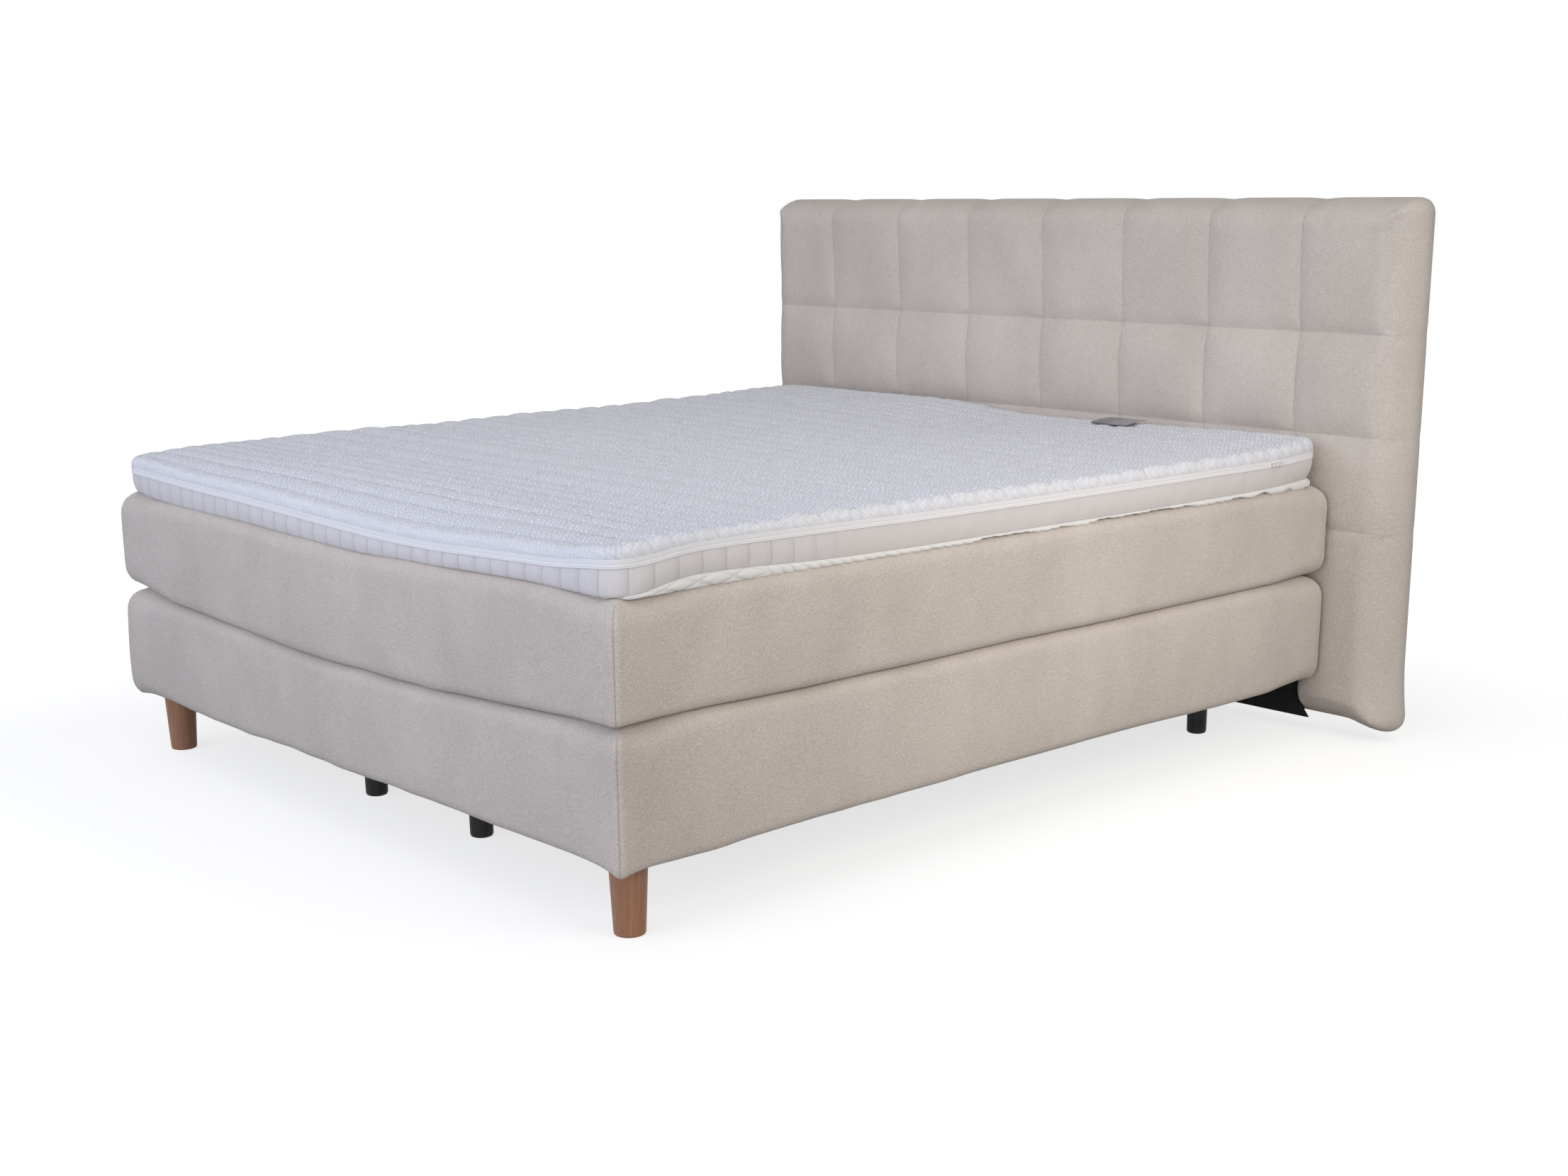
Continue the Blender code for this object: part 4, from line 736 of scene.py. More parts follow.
def upholstered_box(name, low_z, top_z, top_radius, near_low, bulge, seed):
    """A box cushion with seamed corners, whose lower near corner hangs in a small point."""
    xs = spread(2 * HALF_WIDTH, SKIN_EDGES, 0.021) - HALF_WIDTH
    ys = spread(2 * HALF_LENGTH, SKIN_EDGES, 0.021) - HALF_LENGTH
    if name.startswith("mattress"):
        xs = with_lines(xs, PANEL_HALF_WIDTH)
        ys = with_lines(ys, PANEL_HALF_LENGTH)
    height = top_z - low_z
    zs = spread(height, (0, 0.004, 0.009, 0.015, 0.022, 0.030, 0.040, 0.052), 0.016)
    lattice, faces = box_lattice(xs, ys, zs)
    x, y, z = lattice.T
    inset = np.minimum(HALF_WIDTH - abs(x), HALF_LENGTH - abs(y))
    to_corner = np.maximum(HALF_WIDTH - abs(x), HALF_LENGTH - abs(y))
    corner = corner_share(x, y + MID_Y)
    near = np.where(is_near(x, y + MID_Y), 1.0, 0.0)
    low = LOWER_RADIUS + CORNER_MORE * corner - (LOWER_RADIUS + CORNER_MORE - near_low) * corner * near
    top = top_radius + CORNER_MORE * corner
    points = rounded(lattice, HALF_WIDTH, HALF_LENGTH, height, 0.014, low, top)
    points[:, 1] += MID_Y
    x, y, height_at = points.T
    share = height_at / height
    on_side = smooth_step((0.004 - inset) / 0.004)

    # Bulging sides, drawn in at the corners, and slow waves in the cloth
    normal = normals_of(points, faces)
    level = normal.copy()
    level[:, 2] = 0
    level /= np.maximum(np.linalg.norm(level, axis=1), 1e-6)[:, None]
    side = smooth_step((0.06 - inset) / 0.06)
    left = corner * (x < 0) * (y < MID_Y)
    at_head = smooth_step((y - (HEAD_Y - 0.03)) / 0.02)
    full = (1 - 0.5 * corner + 0.9 * left) * (1 - at_head)
    out = bulge * np.sin(np.pi * unit(share)) ** 0.6 * full
    out = out + 0.0014 * ripple(points, 0.34, seed) + 0.0007 * ripple(points, 0.12, seed + 1)
    out = np.where(side > 0, out * side, 0)
    points += level * out[:, None]

    # Corner seams, sewn inwards with a soft roll on both sides
    seam = on_side * bell(to_corner, CORNER_SEAM_WIDTH)
    roll = on_side * bell(to_corner - 0.009, 0.005)
    points += level * (CORNER_ROLL * roll - CORNER_SEAM_DEPTH * seam)[:, None]

    # The lower corner hangs in a point, and the cloth folds towards it
    x, y = points[:, 0], points[:, 1]
    below = unit(1 - share / 0.45)
    ear = np.exp(-to_corner / 0.050) * corner * (0.25 + 0.75 * near)
    hanging = BASE_EAR if name.startswith("base") else MATTRESS_EAR
    points[:, 2] -= hanging * ear * below**1.5 * smooth_step((0.10 - inset) / 0.10)
    points += level * (0.004 * ear * below * on_side)[:, None]

    # Sag of the seam between base and mattress, and of the mattress's top
    upper = unit(share)
    if name.startswith("base"):
        drop = seam_sag(x, y) * upper**1.5
        drop = drop + hang(x, y) * (1 - upper) ** 1.6 * smooth_step((0.024 - inset) / 0.022)
    else:
        drop = seam_sag(x, y) * (1 - upper) ** 1.5 + top_sag(x, y) * upper
    points[:, 2] += low_z - drop
    # The seam field carries painted shade along the corner seams
    return points, faces, {"seam": CORNER_SEAM_SHADE * seam}, share, level


def make_base(material):
    points, faces, fields, _, level = upholstered_box(
        "base_upholstery", BASE_LOW, BASE_TOP, BASE_TOP_RADIUS, BASE_NEAR_RADIUS, BASE_BULGE, 11
    )
    # Soft folds on the foot face that run down from the near corner
    x, y, z = points.T
    on_foot = smooth_step((0.035 - (y - FOOT_Y)) / 0.03)
    for start, lean, reach, size in FOOT_FOLDS:
        down = BASE_TOP - z
        along = (HALF_WIDTH - x) - start - lean * down
        fade = unit(1 - down / reach) * on_foot
        fold = size * bell(along, 0.013) * fade
        fold -= 0.6 * size * bell(along - 0.022, 0.013) * fade
        points += level * fold[:, None]
    piece = mesh_piece("base_upholstery", points, faces, material, "bed", fields)
    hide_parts("base_cover", "base_foam", "base_felt", "base_spring_unit")


def make_mattress(material):
    points, faces, fields, share, _ = upholstered_box(
        "mattress_upholstery", MATTRESS_LOW, MATTRESS_TOP, MATTRESS_TOP_RADIUS, MATTRESS_NEAR_RADIUS,
        MATTRESS_BULGE, 23
    )
    x, y = points[:, 0], points[:, 1]
    inside = (abs(x) < PANEL_HALF_WIDTH) & (abs(y - MID_Y) < PANEL_HALF_LENGTH) & (share < 0.02)
    points[inside, 2] += PANEL_RECESS
    piece = mesh_piece("mattress_upholstery", points, faces, material, "mattress", fields)
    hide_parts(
        "mattress_cover",
        "mattress_bottom_foam",
        "mattress_edge_foam",
        "mattress_spring_core",
        "mattress_top_foam",
    )


def flat_cloth(name, material, body, half_x, half_y, low, top, lift=None, corner=0.0):
    """A closed thin cloth that lies level, or follows a lift field."""
    ends = (0, 0.006, 0.014, 0.024, 0.036, 0.050, 0.066)
    xs = spread(2 * half_x, ends, 0.05) - half_x
    ys = spread(2 * half_y, ends, 0.05) - half_y
    lattice, faces = box_lattice(xs, ys, np.array([0, top - low]))
    points = rounded(lattice, half_x, half_y, top - low, corner, 0.0002, 0.0002) + (0, MID_Y, low)
    if lift is not None:
        points[:, 2] += lift(points[:, 0], points[:, 1])
    piece = mesh_piece(name, points, faces, material, body)
    return piece


# Topper

ZIP_AT_FOOT = (
    (-0.89, -0.80, -0.70, -0.56, -0.40, -0.23, -0.08, 0.08, 0.19, 0.30, 0.38, 0.46, 0.54)
    + (0.65, 0.73, 0.83, 0.89),
    (0.634, 0.6345, 0.6325, 0.6277, 0.6259, 0.6214, 0.6171, 0.6135, 0.6112, 0.6127, 0.6143, 0.6188, 0.6224)
    + (0.6276, 0.631, 0.638, 0.643),
)
ZIP_AT_SIDE = (
    (-1.0, -0.95, -0.90, -0.85, -0.75, -0.6, -0.3, 0.0, 0.4, 0.6, 0.8, 0.9, 1.0),
    (0.643, 0.646, 0.6525, 0.6570, 0.6580, 0.6572, 0.6535, 0.6525, 0.6535, 0.6550, 0.6557, 0.660, 0.664),
)
MESH_LOW_AT_FOOT = (
    (-0.89, -0.84, -0.75, -0.60, -0.48, -0.37, -0.275, -0.19, 0.0, 0.13, 0.25, 0.37, 0.456, 0.54)
    + (0.645, 0.8, 0.89),
    (0.590, 0.588, 0.581, 0.578, 0.577, 0.5774, 0.576, 0.5734, 0.5708, 0.570, 0.576, 0.5784, 0.5825, 0.5855)
    + (0.5895, 0.5888, 0.589),
)
MESH_LOW_AT_SIDE = (
    (-1.0, -0.966, -0.923, -0.884, -0.83, -0.755, -0.68, -0.6, -0.5, -0.3, 0.3, 0.7, 0.9, 1.0),
    (0.589, 0.590, 0.600, 0.608, 0.611, 0.610, 0.607, 0.603, 0.600, 0.5975, 0.598, 0.600, 0.605, 0.612),
)


RISE_ALONG_LEFT = (
    (-1.0, -0.6, -0.2, 0.0, 0.25, 0.45, 0.62, 0.72, 0.82, 1.0),
    (0.00, 0.03, 0.16, 0.28, 0.31, 0.44, 0.60, 0.81, 0.97, 1.0),
)
RISE_ALONG_RIGHT = (
    (-1.0, 0.2, 0.4, 0.6, 0.75, 0.88, 1.0),
    (0.0, 0.0, 0.10, 0.22, 0.40, 0.72, 1.0),
)
RISE_AT_HEAD = (
    (-0.89, -0.75, -0.6, -0.45, -0.34, -0.26, -0.18, -0.09, 0.0, 0.08, 0.16, 0.25, 0.40)
    + (0.54, 0.68, 0.80, 0.89),
    (0.030, 0.029, 0.027, 0.027, 0.0255, 0.022, 0.0175, 0.011, 0.006, 0.004, 0.004, 0.006, 0.012)
    + (0.017, 0.023, 0.024, 0.020),
)


def eased(values, table):
    """Looks a table up with smooth turns between its points."""
    fine = np.linspace(table[0][0], table[0][-1], 400)
    line = np.interp(fine, *table)
    width = 15
    kernel = np.hanning(2 * width + 1)
    kernel /= kernel.sum()
    padded = np.concatenate([np.full(width, line[0]), line, np.full(width, line[-1])])
    return np.interp(values, fine, np.convolve(padded, kernel, "valid"))


def round_the_edge(x, y, foot, side, head):
    """Blends what a field says along the foot, the sides and the head, for any point of the topper."""
    out = y - MID_Y
    along = eased(out, side)
    corner = foot[1][0]
    sides = (
        (TOPPER_HALF_LENGTH + out, eased(x, foot)),
        (TOPPER_HALF_WIDTH - x, along),
        (TOPPER_HALF_WIDTH + x, 0.5 * along + 0.5 * (corner + (head - corner) * (out + 1) / 2)),
        (TOPPER_HALF_LENGTH - out, np.full_like(x, head)),
    )
    weights = [bell(np.maximum(d, 0), 0.085) + 1e-9 for d, _ in sides]
    total = sum(weights)
    return sum(w * v for w, (_, v) in zip(weights, sides)) / total, unit(total)


def head_rise(x, y):
    """How far the topper's top swells up towards the head, most of all on the left."""
    out = y - MID_Y
    on_left = smooth_step((0.10 - x) / 0.45)
    along = eased(out, RISE_ALONG_LEFT) * on_left + eased(out, RISE_ALONG_RIGHT) * (1 - on_left)
    return along * eased(x, RISE_AT_HEAD)


def zip_height(x, y):
    height, nearness = round_the_edge(x, y, ZIP_AT_FOOT, ZIP_AT_SIDE, FLAT_ZIP_AT_HEAD)
    return height + 0.5 * head_rise(x, y) * smooth_step((0.35 - x) / 0.7), nearness


def tucked_in(x, y, share):
    """Draws the mesh's lower edge in at the head's right corner and at the foot's left corner."""
    near = bell(np.hypot(x - TOPPER_HALF_WIDTH, y - MID_Y - TOPPER_HALF_LENGTH), 0.13)
    far = bell(np.hypot(x + TOPPER_HALF_WIDTH, y - MID_Y + TOPPER_HALF_LENGTH), 0.10)
    lower = (1 - share) ** 1.2
    pull = 0.016 * near * lower
    return x - pull + 0.010 * far * lower, y - pull + 0.003 * far * lower


def mesh_low(x, y):
    return round_the_edge(x, y, MESH_LOW_AT_FOOT, MESH_LOW_AT_SIDE, FLAT_MESH_AT_HEAD)[0]


def topper_inset(x, y):
    """How far a point lies inside the topper's nearest side."""
    return np.minimum(TOPPER_HALF_WIDTH - abs(x), TOPPER_HALF_LENGTH - abs(y - MID_Y))


def corner_pull(x, y):
    """Draws the topper's corners in, but for the foot's left one, to round them more than its outline."""
    to_corner = np.maximum(TOPPER_HALF_WIDTH - abs(x), TOPPER_HALF_LENGTH - abs(y - MID_Y))
    inset = topper_inset(x, y)
    amount = np.where((x < 0) & (y < MID_Y), 0.0, CORNER_PULL)
    pull = amount * np.cos(0.5 * np.pi * unit(to_corner / 0.13)) ** 2
    pull = pull * np.exp(-np.maximum(inset, 0) / 0.06)
    return x - np.sign(x) * pull * 0.707, y - np.sign(y - MID_Y) * pull * 0.707


def topper_path(extra=()):
    """Places, outward directions and run along the topper's outline, with extra stations."""
    straight_x = 2 * (TOPPER_HALF_WIDTH - TOPPER_CORNER)
    straight_y = 2 * (TOPPER_HALF_LENGTH - TOPPER_CORNER)
    arc = TOPPER_CORNER * np.pi / 2
    marks = np.cumsum([0, straight_y, arc, straight_x, arc, straight_y, arc, straight_x, arc])
    whole = marks[-1]
    stations = np.arange(0, whole, 0.0085)
    stations = np.concatenate([stations, np.array(extra) % whole if len(extra) else []])
    stations = np.unique(np.round(stations, 5))
    stations = thinned(stations, 0.0006)
    stations = stations[stations < whole - 0.0006]
    cx, cy = TOPPER_HALF_WIDTH - TOPPER_CORNER, TOPPER_HALF_LENGTH - TOPPER_CORNER
    place = np.zeros((len(stations), 2))
    out = np.zeros((len(stations), 2))
    legs = (
        ((cx + TOPPER_CORNER, -cy), (0, 1), (1, 0)),
        ((cx, cy), 0.0, None),
        ((cx, cy + TOPPER_CORNER), (-1, 0), (0, 1)),
        ((-cx, cy), 0.5 * np.pi, None),
        ((-cx - TOPPER_CORNER, cy), (0, -1), (-1, 0)),
        ((-cx, -cy), np.pi, None),
        ((-cx, -cy - TOPPER_CORNER), (1, 0), (0, -1)),
        ((cx, -cy), 1.5 * np.pi, None),
    )
    for start, end, (point, way, facing) in zip(marks, marks[1:], legs):
        here = (stations >= start) & (stations < end)
        run = stations[here] - start
        if facing is None:
            angle = way + run / TOPPER_CORNER
            out[here] = np.column_stack([np.cos(angle), np.sin(angle)])
            place[here] = np.array(point) + TOPPER_CORNER * out[here]
        else:
            place[here] = np.array(point) + run[:, None] * np.array(way)
            out[here] = facing
    place[:, 1] += MID_Y
    return place, out, stations, whole


def ring_piece(name, place, out, profile, material, fields=None):
    """A closed loft round the topper. Profile gives outsets and heights, as (stations, points) arrays."""
    outset, height = profile
    count, around = outset.shape
    xy = place[:, None, :] + outset[..., None] * out[:, None, :]
    points = np.concatenate([xy, height[..., None]], -1).reshape(-1, 3)
    i = np.arange(count)[:, None]
    j = np.arange(around)[None, :]
    a = i * around + j
    b = ((i + 1) % count) * around + j
    c = ((i + 1) % count) * around + (j + 1) % around
    d = i * around + (j + 1) % around
    faces = np.stack([a, b, c, d], -1).reshape(-1, 4)
    return mesh_piece(name, points, faces, material, "topper", fields)


def tube(centre_out, centre_up, radius):
    """A round profile; centre and radius may differ from station to station."""
    angle = np.linspace(0, 2 * np.pi, PIPING_SIDES, endpoint=False)
    return (
        centre_out[:, None] + radius[:, None] * np.cos(angle),
        centre_up[:, None] + radius[:, None] * np.sin(angle),
    )


def channel_lines():
    lines = [FIRST_SEAM_Y]
    for count, width in CHANNEL_ZONES:
        for _ in range(count):
            lines.append(lines[-1] + width)
    return np.array(lines)


def quilt_pins(share, seam):
    """1 where the quilt is sewn down or hidden, 0 where it is free."""
    return unit(np.maximum(1 - 0.7 * smooth_step((share - 0.05) / 0.2), 1.4 * seam))


def make_topper_quilt(material):
    lines = channel_lines()
    foot, head = MID_Y - TOPPER_HALF_LENGTH, MID_Y + TOPPER_HALF_LENGTH
    edges = (0, 0.002, 0.005, 0.009, 0.014, 0.020, 0.026)
    shares = np.array([0, 0.035, 0.10, 0.20, 0.34, 0.5, 0.66, 0.80, 0.90, 0.965])
    ys = [foot + np.array(edges)]
    for start, end in zip(lines, lines[1:]):
        ys.append(start + shares * (end - start))
    rest = head - np.array(edges[::-1])
    ys.append([lines[-1]])
    ys.append(rest[rest > lines[-1] + 0.002])
    ys = np.unique(np.round(np.concatenate(ys), 6)) - MID_Y
    ends = (0, 0.002, 0.005, 0.009, 0.014, 0.020, 0.027, 0.036, 0.048, 0.064)
    xs = spread(2 * TOPPER_HALF_WIDTH, ends, 0.020) - TOPPER_HALF_WIDTH
    zs = np.array([0, 0.003, 0.007, 0.011, 0.015, 0.019, 0.023, QUILT_HEIGHT])
    lattice, faces = box_lattice(xs, ys, zs)
    half_sizes = (TOPPER_HALF_WIDTH, TOPPER_HALF_LENGTH)
    points = rounded(lattice, *half_sizes, QUILT_HEIGHT, TOPPER_CORNER, 0.003, 0.019)
    points[:, 1] += MID_Y
    x, y, up = points.T.copy()
    inset = topper_inset(x, y)
    share = up / QUILT_HEIGHT

    # Channels: puffed between the seams, a little uneven along their run
    which = np.clip(np.searchsorted(lines, y, "right") - 1, 0, len(lines) - 2)
    t = unit((y - lines[which]) / (lines[which + 1] - lines[which]))
    inside = (y >= lines[0]) & (y <= lines[-1])
    puff = np.where(inside, np.sin(np.pi * t) ** 0.6, 0.35)
    width = lines[which + 1] - lines[which]
    seam = np.where(inside, bell(np.minimum(t, 1 - t) * width, CHANNEL_SEAM), 0)
    flat = np.column_stack([x * 0.6, which * 3.7])
    uneven = 1 + 0.20 * ripple(flat, 0.30, 5)
    depth = CHANNEL_DEPTH * (0.8 + 0.2 * width / 0.05) * uneven
    base, near_edge = zip_height(x, y)
    low = base + ZIP_HALF_HEIGHT - 0.0006
    crown = QUILT_CROWN * unit(1 - (x / 0.89) ** 2)
    slow = 0.0012 * ripple(points[:, :2], 0.55, 7)
    level_top = QUILT_TOP - 0.0040 + crown + slow + head_rise(x, y)
    edge_top = base + EDGE_RISE + slow + (0.3 + 0.2 * smooth_step((0.35 - x) / 0.7)) * head_rise(x, y)
    top = level_top * (1 - near_edge) + np.minimum(edge_top, level_top + 0.004) * near_edge
    z = low + share * (top - low)
    at_side = smooth_step((abs(x) - 0.80) / 0.06) * (0.30 + 0.70 * smooth_step((y - MID_Y + 0.6) / 0.9))
    soft = 1 - (0.80 - 0.42 * at_side) * smooth_step((0.036 - inset) / 0.03)
    lift = depth * soft * (puff - 0.35) * smooth_step((share - 0.25) / 0.7)
    points[:, 2] = z + lift
    x, y = corner_pull(points[:, 0], points[:, 1])
    # Along the sides the seams draw the edge in a little
    on_edge = smooth_step((0.012 - inset) / 0.012) * np.sin(np.pi * unit(share))
    scallop = SCALLOP * at_side * (puff - 0.5) * on_edge * (abs(x) > TOPPER_HALF_WIDTH - 0.03)
    points[:, 0] = x + np.sign(x) * scallop
    points[:, 1] = y
    seam = seam * smooth_step((share - 0.15) / 0.3)
    edge = smooth_step((0.022 - inset) / 0.020)
    points = settled("topper_quilt", points, faces, quilt_pins(share, seam), *QUILT_CLOTH)
    # The seam field carries painted shade along the channel seams
    fields = {"seam": seam * 0.8, "edge": edge * 0.55}
    piece = mesh_piece("topper_quilt", points, faces, material, "topper", fields)
    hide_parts("topper_top_cover", "topper_core")


def make_zip(tape_material, piping_material):
    place, out, stations, _ = topper_path()
    x, y = place.T
    centre = zip_height(x, y)[0]
    pulled = np.column_stack(corner_pull(x, y))
    zero = np.zeros(len(stations))
    outs = np.array([-12, 10, 10, 10, 10, 10, 7, 10, 10, 10, 10, 10, -12]) * 1e-4
    ups = np.array([60, 60, 37, 33, 29, 4, 0, -4, -29, -33, -37, -60, -60]) * 1e-4
    order = np.arange(len(outs))[::-1]
    profile = (zero[:, None] + outs[order], centre[:, None] + ups[order])
    tape = ring_piece("zip_tape", pulled, out, profile, tape_material)
    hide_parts("topper_zip_tape")
    radius = PIPING_RADIUS * (1 + 0.05 * ripple(place, 0.02, 31))
    for name, side in (("zip_piping_upper", 1), ("zip_piping_lower", -1)):
        profile = tube(zero + 0.0004, centre + side * PIPING_HEIGHT, radius)
        ring_piece(name, pulled, out, profile, piping_material)


def make_mesh_border(material):
    whole = topper_path()[3]
    tucks = np.arange(FIRST_TUCK, whole, TUCK_PITCH)
    extra = np.concatenate([tucks + d for d in (-0.0035, -0.0015, 0, 0.0012, 0.003)])
    place, out, stations, _ = topper_path(extra)
    x, y = place.T
    top = zip_height(x, y)[0] - ZIP_HALF_HEIGHT + 0.0004
    low = mesh_low(x, y)
    offset = (stations[:, None] - tucks[None, :] + whole / 2) % whole - whole / 2
    nearest = offset[np.arange(len(stations)), np.argmin(abs(offset), axis=1)]
    tuck = np.where(nearest < 0, bell(nearest, 0.0022), bell(nearest, 0.0010))
    swell = np.sin(np.pi * unit(abs(nearest) / (TUCK_PITCH / 2)) / 2) ** 0.5
    levels = np.array([0.0, 0.06, 0.16, 0.30, 0.45, 0.60, 0.75, 0.88, 0.96, 1.0])
    belly = np.array([-0.0035, -0.0012, 0.0004, 0.0014, 0.0020, 0.0018, 0.0010, 0.0000, -0.0006, -0.0010])
    slow = 0.0006 * ripple(np.column_stack([place, stations]), 0.09, 41)
    plain = smooth_step((x - 0.86) / 0.03) * smooth_step((y - MID_Y + 0.66) / 0.22)
    tuck = tuck * (1 - 0.88 * plain)
    waves = 0.0004 * swell - 0.0010 * tuck + slow
    outset = belly[None, :] + waves[:, None] * np.sin(np.pi * levels * 0.9 + 0.15)
    height = low[:, None] + levels[None, :] * (top - low)[:, None]
    inner_out = np.full((len(stations), 2), -0.0075)
    inner_up = np.column_stack([top, low])
    profile = (np.concatenate([outset, inner_out], 1), np.concatenate([height, inner_up], 1))
    upper = np.concatenate([levels, [1.0, 0.0]])
    xy_top = np.column_stack(corner_pull(x, y))
    # Painted shade: darker just left of each tuck, and in the tucks
    tuck_shade = np.where(nearest < 0, smooth_step(1 + nearest / 0.022), 0.0) * (1 - 0.9 * plain)
    fields = {"seam": tuck * 0.8, "tuck_shade": tuck_shade, "calm": 0.55 * plain}
    fields = {key: np.repeat(values, len(upper)) for key, values in fields.items()}
    piece = ring_piece("topper_mesh", place, out, profile, material, fields)
    co = np.array([v.co for v in piece.data.vertices])
    share = np.tile(upper, len(stations))
    co[:, :2] += np.repeat(xy_top - place, len(upper), axis=0) * share[:, None]
    co[:, :2] = np.column_stack(tucked_in(co[:, 0], co[:, 1], share))
    piece.data.vertices.foreach_set("co", co.astype(np.float32).ravel())
    piece.data.update()
    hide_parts("topper_mesh_border")


def make_under_quilt(material):
    # The puffed edge that shows under the mesh
    around = topper_path()[3]
    near_corner = (np.arange(0, 0.46, 0.0022), around - np.arange(0, 0.08, 0.0022))
    place, out, stations, _ = topper_path(np.concatenate([np.arange(0, around, 0.0045), *near_corner]))
    x, y = place.T
    top = mesh_low(x, y) + 0.0012
    low = MATTRESS_TOP - EDGE_DROP - top_sag(x, y) + 0.0006
    corner = corner_share(x, y)
    low = low - 0.0020 * corner
    tall = np.maximum(top - low, 0.0045)
    low = top - tall
    on_right = smooth_step((x - 0.80) / 0.08) * smooth_step((y - MID_Y + 1.0) / 0.04)
    long_puffs = on_right * smooth_step((-0.66 - (y - MID_Y)) / 0.05)
    tucked = smooth_step((FOOT_Y + 0.045 - y) / 0.02)
    turns = 24
    angle = np.linspace(0, 2 * np.pi, turns, endpoint=False)
    rise = np.sin(angle)
    run = stations[:, None] + 0.0025 * ripple(np.column_stack([stations, stations]), 0.11, 83)[:, None]
    fine = abs(np.sin(np.pi * (run + 0.006 * rise) / 0.028)) ** 0.5
    lean_one = abs(np.sin(np.pi * ((run + 0.030) / 0.075 + 0.42 * rise)))
    lean_two = abs(np.sin(np.pi * ((run + 0.030) / 0.075 - 0.42 * rise)))
    nearest = np.minimum(lean_one, lean_two)
    coarse = 1 - 0.30 * bell(nearest, 0.16) - 0.20 * bell(nearest, 0.45)
    share = long_puffs[:, None]
    puff = fine * (1 - share) + coarse * share
    at_end = (0.85 * on_right * smooth_step((y - MID_Y - 0.62) / 0.12))[:, None]
    puff = puff * (1 - at_end) + at_end
    # Painted shade in the creases between the long puffs
    crease = bell(nearest, 0.10) * share
    patchy = ripple(np.column_stack([stations, stations]), 0.16, 85)
    uneven = on_right * smooth_step((y - MID_Y + 0.45) / 0.2)
    shrink = 1 - uneven * (1 - np.clip(0.80 + 0.30 * patchy, 0.35, 1.0))
    low = top - tall * shrink
    tall = tall * shrink
    half = tall[:, None] / 2
    depth = (0.0060 + 0.34 * half) * (0.25 + 0.75 * puff)
    outset = -0.0035 - 0.012 * tucked[:, None] + depth * np.sign(np.cos(angle)) * abs(np.cos(angle)) ** 0.7
    scallops = np.where(rise < 0, 1 - (0.26 - 0.06 * share) * (1 - puff), 1.0)
    height = (low + tall / 2)[:, None] + half * scallops * rise
    fields = {"seam": 0.32 * crease.reshape(-1)}
    place = np.column_stack(tucked_in(x, y, 0.0))
    edge = ring_piece("topper_under_edge", place, out, (outset, height), material, fields)

    # The quilted panel inside that edge
    half_x, half_y = TOPPER_HALF_WIDTH - 0.010, TOPPER_HALF_LENGTH - 0.010
    xs = spread(2 * half_x, (0, 0.003, 0.007, 0.013), 0.022) - half_x
    ys = spread(2 * half_y, (0, 0.003, 0.007, 0.013), 0.022) - half_y
    thick = 0.011
    lattice, faces = box_lattice(xs, ys, np.array([0, 0.003, 0.006, thick]))
    points = rounded(lattice, half_x, half_y, thick, 0.045, 0.003, 0.003)
    points[:, 1] += MID_Y
    x, y, up = points.T.copy()
    inset = np.minimum(half_x - abs(x), half_y - abs(y - MID_Y))
    diagonal = abs(np.sin(np.pi * (x + y) / 0.13)) * abs(np.sin(np.pi * (x - y) / 0.13))
    quilting = 0.0022 * (1 - diagonal**0.5) * smooth_step((thick * 0.5 - up) / (thick * 0.5))
    over = EDGE_DROP * unit(1 - np.maximum(inset, 0) / 0.030) ** 2
    points[:, 2] = MATTRESS_TOP + 0.0004 + up + quilting - top_sag(x, y) - over
    # Painted shade along the quilting seams underneath
    seam = (1 - diagonal**0.4) * (up < 0.001)
    panel = mesh_piece(
        "topper_under_quilt", points, faces, material, "topper", {"seam": 0.5 * seam}
    )
    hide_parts("topper_bottom_cover")


